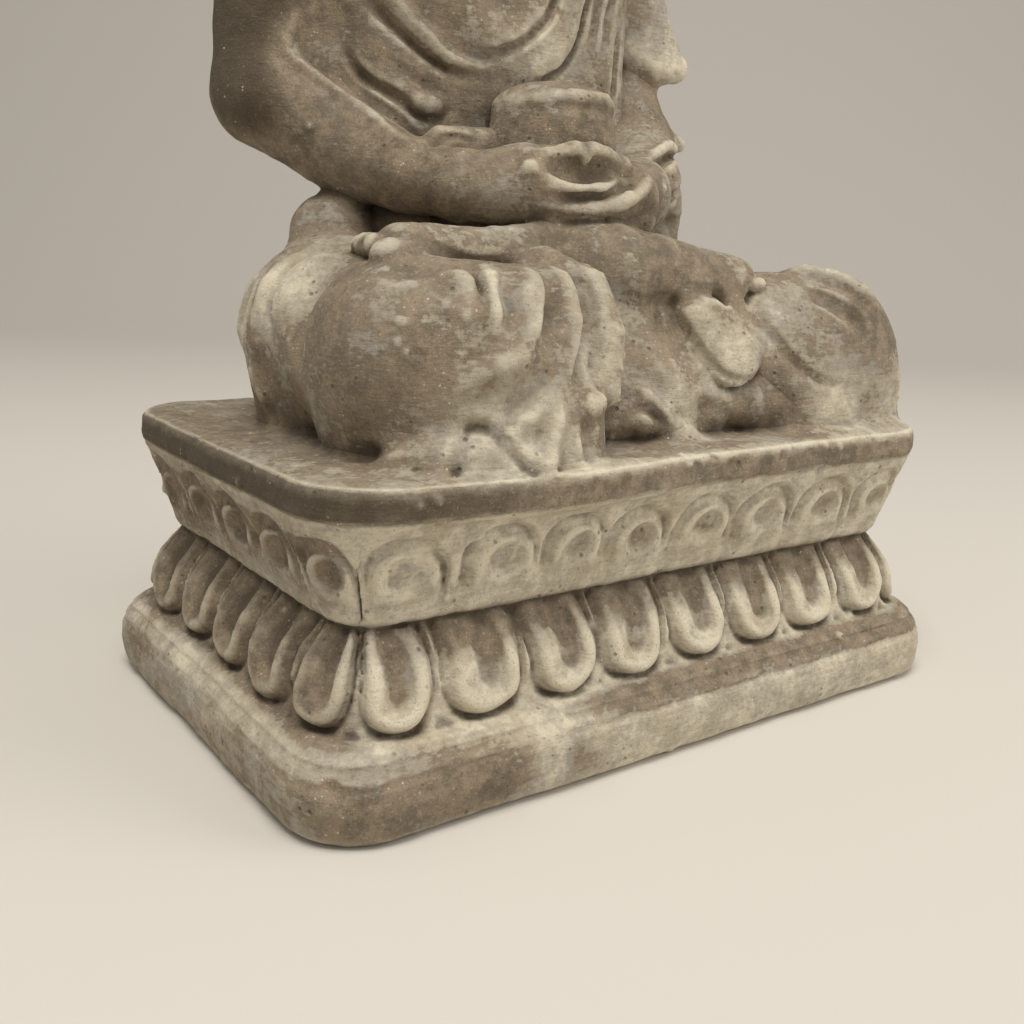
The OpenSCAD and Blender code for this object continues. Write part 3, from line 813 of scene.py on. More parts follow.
def carve_lap(clay):
    clay.groove([(4.5, -20, 19.5), (4, -21.5, 16), (3, -23, 12)], 1.4, 0.6)
    clay.groove([(7, -20, 19), (7, -22, 15), (7, -23.5, 11)], 1.6, 0.4)
    # the light tongue of cloth over the hem's folds
    clay.ridge([(-6, -24, 7.6), (-2, -25.4, 7.4), (1, -26, 5), (3.6, -27, 2.4), (6.6, -26.6, 2),
                (8.6, -26, 4)], 2.6, 1.1)
    clay.ridge([(0.6, -22, 12), (3.4, -24.6, 7.6), (6, -26.4, 3.8), (6.8, -27, 1.2)], 6, 1.5, 2,
               fade=(0, 0.6))
    clay.groove([(-5.4, -26, 5), (-1.6, -27.4, 5), (1.2, -28, 2.4), (3, -28.4, 0.6)], 1.2, 0.8)
    clay.ridge([(8, -24, 6.6), (11.5, -25, 6), (15, -25.6, 4.6), (17, -26, 3)], 2.2, 0.6, 1)
    # the shadow lines round the hanging flap
    clay.groove([(8, -22.6, 17.6), (9, -24, 14.4), (10.4, -26, 11), (12.6, -27, 9.2),
                 (16, -27.6, 8.2), (20.6, -27, 9.4)], 1.3, 0.5, 0.5, fade=(0.1, 0.2))
    clay.groove([(16.4, -25, 17.4), (18.6, -25.8, 14.8), (21.6, -27, 12)], 1.1, 0.4)


def carve_left_knee(clay):
    clay.ridge([(28, -20, 23), (35, -20, 23.8), (40, -24, 22.4), (43.5, -28, 19), (46, -29, 14)],
               4, 1.5)
    clay.groove([(30, -24, 21.5), (35, -27, 20), (39, -30, 16.5), (40, -31, 12)], 4, 1.3)
    clay.groove([(19, -23, 20.4), (22.6, -25.4, 15.6), (27, -28, 10), (32, -30, 7.4),
                 (38, -32, 6.6)], 1.4, 0.6, 0.8, fade=(0.2, 0.2))
    clay.ridge([(47, -28, 10), (48, -27.5, 5), (50, -25.5, 1)], 3, 0.9, fade=(0, 1))
    clay.groove([(44, -6, 22), (50, -8, 16), (52, -9, 8)], 3, 0.9)
    clay.ridge([(42, 0, 22), (47, 0, 16), (49, 0, 7)], 4, 1.0)
    clay.groove([(40, 6, 22), (45, 6, 15), (46, 6, 6)], 3, 0.9)


def carve_feet(clay):
    # ankle bone, instep and the edge of the sole
    clay.groove([(-2, -21, 19.6), (8, -22, 19.2), (20, -22.4, 19.6)], 2, 0.5)
    clay.ridge([(2, -12, 29.6), (10, -15, 27.8), (20, -16.6, 25.4)], 4, 0.5)
    clay.ridge([(-8, -12.6, 29), (-16, -13.6, 28), (-24, -14.6, 28)], 3, 0.5)
    clay.groove([(-14, -15.6, 24), (-24, -16.4, 23.6), (-33, -16, 23.6)], 2, 0.8)


def carve_chest(clay):
    clay.groove([(-28, 12, 62), (-23.5, 11, 58), (-19, 10, 55), (-14.5, 10, 52.5),
                 (-10.5, 9.5, 51), (-6.5, 9, 50)], 1.8, 1.1)
    clay.ridge([(-26, 12, 64), (-20, 10, 58.5), (-15, 10, 55), (-10, 9, 53), (-5, 8.5, 52)], 3, 0.8)
    clay.groove([(-20, 10, 62), (-14, 9.5, 55), (-7.5, 8.5, 54), (-2.5, 7.5, 55.5), (2.5, 7.5, 59),
                 (6, 8, 64), (8, 9, 70), (10, 11, 78), (12, 14, 86)], 1.8, 1.1, fade=(0, 0.5))
    clay.ridge([(-5, 8.5, 52), (2.5, 8.5, 53.5), (8, 8.5, 58), (10, 8.5, 64), (12, 10, 72),
                (14, 13, 82)], 4.4, 1.0)
    clay.groove([(-6.5, 9, 50), (0, 8.5, 50.5), (6, 8.5, 52.5), (10.5, 8.5, 57), (12.5, 8.5, 65),
                 (15, 10, 76)], 1.6, 1.0)
    clay.groove([(13, 9.5, 54), (14.5, 9, 60), (15.5, 9, 68), (18, 11, 78)], 1.6, 0.7)
    clay.groove([(16.5, 9.5, 50), (17, 9.5, 58), (18.5, 9.5, 68), (21, 11, 78)], 1.6, 0.7)
    clay.groove([(20, 10, 46), (20.5, 10, 56), (22, 10, 66)], 1.8, 0.9)
    clay.groove([(-29, 16, 57), (-26, 13, 50), (-22.5, 10.5, 47.5), (-19, 10, 46),
                 (-17.5, 10, 44.8), (-14.5, 10, 44.4), (-12.5, 10, 45.5)], 1.6, 1.1, fade=(0, 0.6))
    clay.ridge([(-18.5, 10, 47.4), (-16, 10, 46.2), (-13.5, 10, 46.8)], 3, 1.0)
    clay.groove([(-27, 14, 46), (-21, 11, 42.5), (-15, 10, 40)], 2, 0.6)
    clay.groove([(-24, 12, 53), (-18, 10.4, 49.6), (-12, 10, 48)], 1.6, 0.5)


def carve_back(clay):
    # long folds of the robe, drawn from the left shoulder to the right hip
    for k in range(6):
        t = k / 5
        marks = [(25 - 7 * t, 30, 84 - 30 * t), (12 - 6 * t, 34, 70 - 34 * t),
                 (-4 - 5 * t, 35, 56 - 34 * t), (-22 + 4 * t, 33, 48 - 32 * t)]
        clay.ridge(marks, 4.2, 0.9, 1.4, fade=(0.5, 0.3))
        clay.groove([(x - 1.2, y, h - 3) for x, y, h in marks], 2.8, 0.75, 1, fade=(0.4, 0.3))
    # the robe's edge over the left shoulder
    clay.ridge([(11, 26, 92), (14, 30, 86), (18, 33, 76), (20, 34, 64), (20, 34, 50)], 3.4, 1.1, 1.2,
               fade=(0.6, 0.2))
    clay.groove([(8.6, 26, 92), (11.6, 30, 86), (15.6, 33, 76), (17.6, 34, 64)], 1.6, 0.7)
    # cloth gathered where it meets the seat
    for x in (-30, -20, -9, 3, 14, 26):
        clay.groove([(x, 34, 16), (x * 1.06, 36, 9), (x * 1.12, 37, 2)], 2.6, 0.8, 1, fade=(0, 0.6))
        clay.ridge([(x + 4, 34, 14), ((x + 4) * 1.06, 36, 8), ((x + 4) * 1.12, 37, 2)], 3, 0.6, 1,
                   fade=(0, 0.6))


def carve_arms(clay):
    clay.ridge([(-32.5, 18, 64), (-34, 17, 58), (-35.5, 16.5, 52), (-33.5, 16, 49.5),
                (-29, 12, 46), (-24.5, 4, 40.5), (-21.5, -3, 37.5)], 2.4, 0.8)
    clay.groove([(-12, 0, 40), (-16, 2, 41.5), (-20, 1, 41), (-22.5, -1.5, 38.5)], 1.2, 0.8)
    # the sleeve's folds run down into the hand
    clay.groove([(36, 12, 43), (30, 6, 42), (22, -2, 41), (14, -5, 40.5)], 1.8, 1.0)
    clay.groove([(36, 11, 38), (31, 4, 36.5), (24, -2, 35), (18, -4, 31)], 1.8, 0.9)
    clay.ridge([(38, 13, 45), (31, 7, 43.5), (22, -1, 43), (15, -4, 42)], 2, 0.9)
    clay.groove([(37, 12, 33), (32, 6, 31), (26, 0, 30)], 2, 0.8)


def carve_hands(clay):
    # the palm's hollow between thumbs and fingers, then the fingers' rims round it
    clay.groove([(-12, -12.6, 36.6), (-5, -14, 36.4), (2.4, -13, 36.8)], 4.6, 1.6, 0.7)
    clay.ridge([(-13, -11, 37), (-11, -12.8, 35.8), (-6, -14.4, 34.8), (-1, -14.4, 35), (3, -12.6, 36.4)],
               1.8, 0.8)
    clay.ridge([(-13.4, -11, 36.6), (-11.8, -12.4, 36.8)], 2.6, 0.8)
    clay.groove([(-13, -12.4, 33.6), (-9, -14, 32.8), (-2.5, -15, 33.2), (3.5, -14, 35),
                 (7, -11.6, 37.4)], 1.8, 1.2, fade=(0.2, 0.2))
    clay.ridge([(-12.5, -12, 31.6), (-7.5, -14, 31.2), (-2, -15, 31.6), (4, -15, 33.6),
                (9, -12, 36), (10, -10, 38.6), (7, -10, 40.4)], 2, 0.9)
    clay.ridge([(-4, -12.8, 39.6), (-3.8, -13.4, 37)], 1.4, 0.9)
    clay.groove([(-12, -9, 39.6), (-7, -10.6, 39), (-5, -11, 38.8)], 1.6, 0.5)
    clay.groove([(-2.6, -11, 38.8), (3, -9.4, 39.4), (8, -8, 39.2)], 1.6, 0.6)
    # the bowl's rim
    clay.ridge([(-8.4, -3, 46.6), (-6.6, -6, 47.4), (0, -8.6, 47.8), (6.4, -6, 47.4), (8.4, -2, 46.8)],
               1.6, 0.45, 0.5)
    clay.groove([(-8.8, -3, 45), (-6.8, -6.6, 45.4), (0, -9, 45.8), (6.8, -6.6, 45.4), (8.8, -2, 45)],
                1.4, 0.3, 0.5)


def weather_casting(clay):
    w, d = HALF_W, HALF_D + 1
    clay.weather(1, 40, (-w, -d, SLAB_Z - 1), (w, d, SEAT_Z + 1), (0.3, 0.9), 0.2)
    clay.weather(2, 40, (-w, -d, SEAT_Z - 1), (w, 5 - d, SEAT_Z + 1), (0.2, 0.7))
    clay.weather(3, 60, (-w, -d, LOWER_Z - 3), (w, d, LOWER_Z + 2), (0.4, 1.1), 0.7)
    clay.weather(4, 50, (-w, -d, WAIST_Z - 2), (w, d, UPPER_Z + 3), (0.3, 0.8), 0.6)
    clay.weather(5, 30, (-w, -d, 0), (w, d, LOWER_Z), (0.3, 0.9), 0.3)
    clay.weather(6, 40, (-w, -d, UPPER_Z), (w, d, SLAB_Z), (0.3, 0.8), 0.5)
    clay.weather(7, 60, place((-50, -40, 2)), place((50, 0, 26)), (0.2, 0.6), 0.2)
    clay.weather(8, 50, place((-50, -20, 26)), place((50, 34, 100)), (0.2, 0.7), 0.2)
    clay.weather(9, 40, place((-16, -33, 5)), place((-7, -20, 26)), (0.25, 0.6), 0.6)
    clay.weather(10, 25, place((-43, -34, 13)), place((-34, -26, 20)), (0.25, 0.55), 0.3)


def sculpt_neck(clay, flared=False):
    with clay.piece("neck"):
        clay.add(Limb((0, 20, 94, 9), (0, 17.4, 108, 7.8)), 3)
        if flared:
            # the neck's foot, spread to meet the shoulders
            clay.add(Limb((0, 20, 92, 9.8), (0, 18.6, 99, 8.8)), 2)


def sculpt_head(clay):
    with clay.piece("head"):
        clay.add(Ball((0, 17, 127), (13.2, 14.2, 13.2)), 3)
        clay.add(Ball((0, 12, 119.5), (10.6, 9.4, 10.6)), 4)
        clay.add(Limb((-7.6, 12.6, 113.4, 3.6), (0, 7.4, 111.4, 3.8), (7.6, 12.6, 113.4, 3.6)), 4)
        clay.add(Ball((0, 5.6, 112.2), (3.4, 3, 2.4)), 2.6)
        for side in (-1, 1):
            clay.add(Ball((side * 6, 6.2, 118.2), (4.4, 3.4, 4.2)), 3.4)
            clay.cut(Ball((side * 5.4, 0.9, 124.4), (4.2, 2.7, 2.2)), 1.6)
            clay.add(Ball((side * 5.4, 6, 123.6), (3.9, 3.2, 2.3)), 0.8)
            clay.add(Ball((side * 1.7, 2.5, 119), (1.2, 1.6, 1)), 0.8)
        clay.add(Limb((0, 3.9, 127, 1.2), (0, 2.2, 122.6, 1.2), (0, 1.2, 119.8, 1.5)), 1.2)
    for side, name in ((-1, "right_ear"), (1, "left_ear")):
        with clay.piece(name):
            clay.add(Limb((side * 12.6, 17, 124, 3), (side * 12.8, 16.4, 112.4, 2.4),
                          flat=(1, 0.2 * side, 0, 0.6)), 1)
            clay.add(Limb((side * 12.8, 13.8, 121.6, 0.9), (side * 13.4, 14.6, 125.4, 1),
                          (side * 13.8, 17.6, 127.2, 1.1), (side * 14.2, 19.6, 124, 1.1),
                          (side * 13.8, 18.6, 117.4, 1), (side * 13.4, 17.6, 111.6, 1.2)), 0.6)
            clay.add(Ball((side * 13, 16.2, 110.8), (1.5, 2.3, 3.2)), 1)
    with clay.piece("hair_cap"):
        clay.add(Ball((0, 19, 130), (14.2, 15, 12.2)), 0.3)
        clay.add(Ball((0, 22, 123.6), (12.4, 11.6, 9.6)), 3)
        clay.add(curls((0, 19, 130), (14.4, 15.2, 12.4), 127, 141.6), 0.5)
        clay.add(curls((0, 20.4, 126), (14, 13.8, 13), 114, 127), 0.5)
    with clay.piece("ushnisha"):
        clay.add(Ball((0, 19.6, 141.6), (6, 6, 4.6)), 0.8)
        clay.add(curls((0, 19.6, 141.6), (6, 6, 4.6), 142.4, 146.3), 0.5)


def curls(centre, radii, low, high):
    """Rows of hair curls round an ellipsoid between two heights, kept clear of the face."""
    pitch, radius = 2.5, 1.25
    beads = []
    h, row = low, 0
    while h < high:
        rise = min(1.0, (h - centre[2]) / radii[2])
        ring = math.sqrt(1 - rise * rise)
        around = max(1, round(2 * math.pi * ring * radii[0] / pitch))
        for k in range(around):
            angle = 2 * math.pi * (k + 0.5 * (row % 2)) / around
            x = radii[0] * ring * math.sin(angle)
            y = centre[1] - radii[1] * ring * math.cos(angle)
            behind = 3.6 + 9.2 * max(0, 134 - h) / 10 if h < 134 else 0
            if y > behind + 0.35 * abs(x) * (h < 134):
                beads.append((x, y, h, radius))
        h += pitch * 0.86 * max(0.45, ring)
        row += 1
    return Beads([place(b) for b in beads], radius * SCALE)


def carve_face(clay):
    for side in (-1, 1):
        clay.ridge([(side * 1.3, 2, 125), (side * 2.6, 2, 127), (side * 5.4, 2, 128.2),
                    (side * 8.4, 4, 127.4), (side * 10.8, 7, 125)], 1.5, 0.55, 0.8)
        clay.groove([(side * 2.2, 3, 123.2), (side * 5.4, 2.4, 122.2), (side * 8.9, 4.4, 123.4)],
                    0.8, 0.5, 0.3, fade=(0.4, 0.4))
        clay.groove([(side * 2.4, 3, 124.8), (side * 5.4, 2.6, 125.8), (side * 8.9, 4.6, 124.6)],
                    0.8, 0.4, 0.4)
        clay.groove([(side * 2.6, 2, 118.6), (side * 4, 3, 116.9), (side * 5, 4, 115)], 1.4, 0.2, 0.8)
        clay.groove([(side * 14, 16, 123.6), (side * 14, 17, 120), (side * 13.6, 16.4, 115)], 1.6, 0.8)
    clay.ridge([(-4.3, 3, 116), (-1.6, 2, 116.6), (0, 2, 116.3), (1.6, 2, 116.6), (4.3, 3, 116)],
               1.7, 0.75, 0.5, fade=(0.2, 0.2))
    clay.ridge([(-3.5, 3, 115), (0, 2, 114.3), (3.5, 3, 115)], 2.1, 0.8, 0.5, fade=(0.1, 0.1))
    clay.groove([(-4.7, 3, 116), (-2, 2, 115.5), (0, 2, 115.6), (2, 2, 115.5), (4.7, 3, 116)],
                0.7, 0.6, 0.3, fade=(0.5, 0.5))
    clay.groove([(0, 2, 118.2), (0, 2, 117)], 1, 0.25, 0.5, fade=(0.6, 0.6))
    clay.groove([(-2.4, 3, 113.4), (0, 3, 113), (2.4, 3, 113.4)], 1.6, 0.4, 0.8)


def carve_neck(clay):
    for h in (100, 103.6, 107):
        clay.groove([(-7.6, 14, h + 0.8), (-4, 10, h), (0, 9, h - 0.3), (4, 10, h), (7.6, 14, h + 0.8)],
                    1, 0.4, 0.5)


# ---- Meshes ----

# Where age has left the brown patina (+) or worn it off to pale cement (-): [x, y, height
# over the seat, reach, amount]. A height below 0 is on the pedestal. The entry at the armpit,
# (-28, 19, 55), is painted light: pale paint over the armpit's shadow.
WEAR_AND_PAINTED_LIGHT = [
    (-43, 20, 60, 14, 3.0), (-42, 18, 46, 8, 1.7), (-38, 14, 76, 12, 1.6), (-30, 14, 36, 9, 0.4),
    # (-28, 19, 55, 5, -1.2) is painted light over the armpit's shadow
    (-22, 0, 38, 7, 0.3), (-36, 15, 52, 6, -1.6), (-28, 19, 55, 5, -1.2), (-28, 11, 46, 5, 0.1),
    (-17, 3, 42, 4, 0.4), (-5, 9, 48, 5, 0.5), (3, -8, 47, 6, 0.8), (-3, -13, 39, 6, 0.7),
    (9, -13, 36, 5, 0.7), (12, -8, 39, 5, 0.4), (-16, -9, 32, 4, -0.3), (-2, 8, 60, 9, -0.3),
    (-16, 9, 46, 5, 0.4), (5, 8, 55, 5, -0.6), (-4, 8, 66, 7, 0.4), (35, 13, 58, 6, -0.6),
    (30, 11, 51, 5, 0.4), (-20, 2, 30, 12, 0.3), (-38, -22, 14, 9, 0.6), (-33, -32, 8, 8, -0.4),
    (-45, -3, 20, 6, -1.0), (-46, -3, 8, 7, 0.1), (-45, 12, 13, 8, -0.7), (-42, -25, 19, 5, -0.3),
    (-36, -29, 19, 4, -0.1), (-30, -28, 21, 3, -0.2), (-25, -36, 3, 7, -0.3), (-38, -33, 2, 5, -0.1),
    (-19, -31, 17, 5, 0.3), (-15, -30, 11, 4, -0.6), (-10, -30, 14, 6, -0.2), (-10, -15, 27, 6, 0.6),
    (9, -20, 26, 8, 0.6), (7, -25, 9, 4, 0.3), (5, -25, 6, 5, -0.5), (5, -26, 3, 4, -0.6),
    (14, -27, 11, 5, -1.0), (10, -25, 18, 3, -0.6), (22, -23, 18, 5, -0.4), (35, -31, 4, 5, -1.0),
    (48, -31, 5, 5, -0.7), (22, -26, 5, 4.6, 0.5), (12, -25, 2, 3.6, 0.5), (-1, -26, 2, 3.4, 0.7),
    (43, -31, 16, 6, 0.5), (50, -22, 17, 6, 0.8), (37, -29, 17, 5, 0.3), (-36, -14, 24, 6, 0.4),
    (-51, -38, -36, 7, 0.5), (-42, -41, -36, 7, 0.4), (-33, -41, -37, 4, 0.6),
    (-22, -41, -37, 3.6, 0.7), (4, -41, -35, 4, 0.3), (-60, 0, -36, 22, -0.3), (-58, 20, -14, 20, 0.3),
    (-48, 0, 1, 12, 0.3),
]


def between(value, low_0, low_1, high_0, high_1):
    """1 between two soft limits, each given by the two ends of its slope."""
    return step_up(value, low_0, low_1) * (1 - step_up(value, high_0, high_1))


def wear_and_shade_petals(amount, x, y, z, on_tier):
    shaded_left_face = 1 - step_up(x, -54, -48)
    for row, low, high in ((LOWER_PETALS, LOWER_Z, WAIST_Z), (UPPER_PETALS, UPPER_Z, SLAB_Z)):
        e, u, v, a = row.inset(x, y, z)
        band = on_tier * between(z, low - 0.5, low + 0.5, high - 0.5, high + 0.5)
        amount += band * (0.5 * step_up(row.lobe(u, v, a), -0.1, 0.8) - 0.5)
        # painted shade: the left faces of both tiers, away from the light, made browner
        amount += 0.75 * band * shaded_left_face
        if row is UPPER_PETALS:
            amount += 0.35 * band * bump(e, 0.7, 0.9) * (1 - step_up(v, 3.0, 7.0))
        else:
            # painted shade: the upper half of each lower petal, where it runs in under the upper tier,
            # made browner
            amount += band * (0.6 * step_up(v, 5.0, 10.0) + 0.12)


def wear_and_shade_mouldings(amount, x, y, z, on_tier):
    plinth_side = round_rect(x, y, HALF_W, HALF_D, CORNER_R)
    tier_side = round_rect(x, y, HALF_W, HALF_D, TIER_CORNER)
    shaded_left_face = 1 - step_up(x, -54, -48)
    near_corner = 1 - step_up(x, -45, -15)
    right = step_up(x, -38, -24)
    # the seat slab's edge, brown on the left, with painted shade on its left face, and the pale brim over
    # it
    slab = step_up(tier_side, -4.6, -3.6) * step_up(z, SLAB_Z + 0.4, SLAB_Z + 1.4)
    brown = 0.45 + shaded_left_face + 0.6 * near_corner
    amount += slab * (brown * (1 - step_up(z, SEAT_Z - 0.9, SEAT_Z - 0.3)) - 0.1 * right)
    brim = step_up(plinth_side, -5.6, -4.8) * step_up(x, -38, -22)
    amount -= 0.15 * brim * between(z, SEAT_Z - 1.0, SEAT_Z - 0.4, SEAT_Z + 0.4, SEAT_Z + 1.0)
    # the pale cove under the slab, and the ledge that the lower petals stand on
    amount -= 0.4 * on_tier * between(z, SLAB_Z - 3, SLAB_Z - 1.5, SLAB_Z, SLAB_Z + 0.6)
    ledge = on_tier * between(z, LOWER_Z - 3.6, LOWER_Z - 2.4, LOWER_Z, LOWER_Z + 1)
    amount += ledge * (0.65 * step_up(x, -28, -10) - 0.2)
    # the plinth's face, browner on the left
    foot = step_up(plinth_side, -3, -2) * (1 - step_up(z, LOWER_Z - 2, LOWER_Z))
    amount += foot * (0.1 - 0.32 * right)


def patina_and_shade(points):
    """How much brown patina is left at each place, from 0 to 1.8, with painted shade added on shaded faces
    and painted light in the armpit.
    """
    amount = np.where(points[:, 2] > SEAT_Z - 0.3, 0.36, 0.26)
    for x, y, h, reach, much in WEAR_AND_PAINTED_LIGHT:
        apart = np.linalg.norm(points - place((x, y, h)), axis=1)
        amount += 0.5 * much * np.exp(-(apart / (reach * SCALE)) ** 2)
    x, y, z = points.T
    on_tier = step_up(round_rect(x, y, HALF_W, HALF_D, CORNER_R), -14, -11)
    wear_and_shade_petals(amount, x, y, z, on_tier)
    wear_and_shade_mouldings(amount, x, y, z, on_tier)
    return np.clip(amount, 0, 1.8)


def make_piece(name, clay, material):
    points, quads = clay.mesh(name)
    mesh = bpy.data.meshes.new("v_" + name)
    mesh.from_pydata((points * MM).tolist(), [], quads.tolist())
    mesh.polygons.foreach_set("use_smooth", np.ones(len(mesh.polygons), bool))
    fine, broad = clay.solidity(points)
    for label, values in (("fine", fine), ("broad", broad), ("patina_and_shade", patina_and_shade(points))):
        layer = mesh.attributes.new(label, "FLOAT", "POINT")
        layer.data.foreach_set("value", values.astype(np.float32))
    mesh.materials.append(material)
    piece = bpy.data.objects.new("v_" + name, mesh)
    bpy.context.scene.collection.objects.link(piece)
    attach(piece, "root")
    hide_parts(name)
    return piece


# ---- Cement ----

PATINA = (0.250, 0.190, 0.126)
PATINA_DARK = (0.100, 0.075, 0.048)
CEMENT = (0.455, 0.395, 0.290)
CEMENT_GREY = (0.345, 0.312, 0.250)
CREAM = (0.620, 0.555, 0.425)
# dark brown-black: grime, dark specks and pinholes, and also painted shade in the broad recesses
GRIME_AND_SHADE = (0.060, 0.046, 0.030)
SAND = (0.660, 0.620, 0.530)


class Nodes:
    """Builds one material's node tree a step at a time."""

    def __init__(self, name):
        self.material = bpy.data.materials.new(name)
        self.material.use_nodes = True
        self.tree = self.material.node_tree
        self.shader = self.tree.nodes["Principled BSDF"]
        self.place = self.node("ShaderNodeTexCoord").outputs["Object"]

    def node(self, kind, **settings):
        node = self.tree.nodes.new(kind)
        for key, value in settings.items():
            setattr(node, key, value)
        return node

    def put(self, value, socket):
        if isinstance(value, bpy.types.NodeSocket):
            self.tree.links.new(value, socket)
        else:
            socket.default_value = value

    def attribute(self, name):
        return self.node("ShaderNodeAttribute", attribute_name=name).outputs["Fac"]

    def math(self, operation, a, b=0.0, c=0.0):
        node = self.node("ShaderNodeMath", operation=operation)
        for value, socket in zip((a, b, c), node.inputs):
            self.put(value, socket)
        return node.outputs[0]

    def times(self, a, b):
        return self.math("MULTIPLY", a, b)

    def add_up(self, total, *terms):
        """The total and each term's value times its share."""
        for value, share in terms:
            total = self.math("MULTIPLY_ADD", value, share, total)
        return total

    def noise(self, size_mm, detail=4.0, rough=0.6, flatten=1.0):
        stretch = self.node("ShaderNodeVectorMath", operation="MULTIPLY")
        self.put(self.place, stretch.inputs[0])
        stretch.inputs[1].default_value = (1, 1, flatten)
        node = self.node("ShaderNodeTexNoise")
        self.put(stretch.outputs[0], node.inputs["Vector"])
        node.inputs["Scale"].default_value = 1 / (size_mm * MM)
        node.inputs["Detail"].default_value = detail
        node.inputs["Roughness"].default_value = rough
        return node.outputs["Fac"]

    def spots(self, size_mm):
        node = self.node("ShaderNodeTexVoronoi")
        self.put(self.place, node.inputs["Vector"])
        node.inputs["Scale"].default_value = 1 / (size_mm * MM)
        return node.outputs["Distance"]

    def ramp(self, value, low, high, start=0.0, end=1.0):
        node = self.node("ShaderNodeMapRange", interpolation_type="SMOOTHSTEP")
        for given, socket in zip((value, low, high, start, end), node.inputs):
            self.put(given, socket)
        return node.outputs[0]

    def mix(self, amount, a, b):
        node = self.node("ShaderNodeMix", data_type="RGBA")
        self.put(amount, node.inputs["Factor"])
        for value, socket in ((a, node.inputs["A"]), (b, node.inputs["B"])):
            sockets = [i for i in node.inputs if i.name == socket.name and i.type == "RGBA"]
            self.put((*value, 1) if isinstance(value, tuple) else value, sockets[0])
        return [o for o in node.outputs if o.type == "RGBA"][0]


class Cement(Nodes):
    """Old cement. Every mesh says how far into a crease (fine, broad) and how brown each of
    its points is, with painted shade and painted light in that brownness; the noises break that up."""

    def __init__(self):
        super().__init__("cement")
        fine, broad, self.left = (self.attribute(n) for n in ("fine", "broad", "patina_and_shade"))
        self.cloud = self.noise(9, 3)
        self.blotch = self.noise(3.2, 5, 0.7)
        self.grain = self.noise(0.7, 4, 0.7)
        self.streak = self.noise(2.4, 5, 0.65, 5)
        self.fleck = self.noise(0.35, 3, 0.8)
        self.crest = self.ramp(fine, 0.48, 0.32)
        self.hollow = self.ramp(fine, 0.54, 0.74)
        # painted shade: where the broad solidity is high, in recesses and under things, the colour is
        # darkened
        self.deep_shade = self.ramp(broad, 0.58, 0.86)
        self.sand = self.times(self.ramp(self.spots(0.9), 0.22, 0.12), self.ramp(self.blotch, 0.52, 0.66))
        self.holes = self.times(self.ramp(self.spots(1.9), 0.2, 0.08), self.ramp(self.noise(5), 0.5, 0.62))

    def patches(self):
        """Pale cement with patina that stays in patches, rubbed off the crests."""
        stay = self.add_up(-0.50, (self.left, 0.8), (self.cloud, 0.7), (self.blotch, 0.85),
                           (self.streak, 0.3), (self.grain, 0.4), (self.crest, -0.3), (self.hollow, 0.12))
        brown = self.mix(self.ramp(self.blotch, 0.35, 0.65), PATINA_DARK, PATINA)
        pale = self.mix(self.ramp(self.cloud, 0.35, 0.65), CEMENT_GREY, CEMENT)
        pale = self.mix(self.ramp(stay, 0.76, 0.44), pale, CREAM)
        colour = self.mix(self.times(self.ramp(stay, 0.66, 1.06), 0.7), pale, brown)
        colour = self.mix(self.times(self.ramp(stay, 0.86, 0.92), 0.6), colour, brown)
        return self.mix(self.ramp(self.left, 0.75, 1.3, 0, 0.8), colour, PATINA_DARK)

    def dirty(self, colour):
        """Dust and painted highlight on the crests, darkening in the fine creases, painted shade in the
        broad recesses, pale specks of sand and dark pinholes.
        """
        # pale cream on the crests: partly dust, partly painted highlight
        dust_and_highlight = self.times(self.crest, self.ramp(self.blotch, 0.3, 0.65, 0.2, 0.6))
        # darker in the fine creases, broken up by the grain
        crease_dark = self.times(self.hollow, self.ramp(self.grain, 0.2, 0.6, 0.5, 0.85))
        coats = (
            (dust_and_highlight, CREAM), (self.ramp(self.fleck, 0.56, 0.76, 0, 0.38), SAND),
            (self.ramp(self.fleck, 0.46, 0.28, 0, 0.6), GRIME_AND_SHADE),
            (self.ramp(self.left, 0.9, 1.6, 0, 0.55), GRIME_AND_SHADE), (crease_dark, GRIME_AND_SHADE),
            # painted shade in the broad recesses
            (self.times(self.deep_shade, 0.35), GRIME_AND_SHADE), (self.times(self.sand, 0.6), SAND),
            (self.times(self.holes, 0.6), GRIME_AND_SHADE),
        )
        for amount, coat in coats:
            colour = self.mix(amount, colour, coat)
        return colour

    def relief(self):
        height = self.add_up(self.times(self.blotch, 0.6), (self.grain, 0.5), (self.fleck, 0.2),
                             (self.streak, 0.6), (self.holes, -0.8), (self.sand, 0.15))
        bump_node = self.node("ShaderNodeBump")
        bump_node.inputs["Strength"].default_value = 0.7
        bump_node.inputs["Distance"].default_value = 0.35 * MM
        self.put(height, bump_node.inputs["Height"])
        return bump_node.outputs["Normal"]


def cement():
    look = Cement()
    look.put(look.dirty(look.patches()), look.shader.inputs["Base Color"])
    look.put(look.ramp(look.grain, 0.3, 0.7, 0.78, 0.95), look.shader.inputs["Roughness"])
    look.put(look.relief(), look.shader.inputs["Normal"])
    look.shader.inputs["Specular IOR Level"].default_value = 0.3
    return look.material


# ---- Studio ----

CAMERA_AZIMUTH = -36.2
CAMERA_PITCH = 13.9
CAMERA_ROLL = 2.1
CAMERA_LENS = 37.6
CAMERA_PLACE = (-0.884, -1.152, 0.576)       # in plinth widths


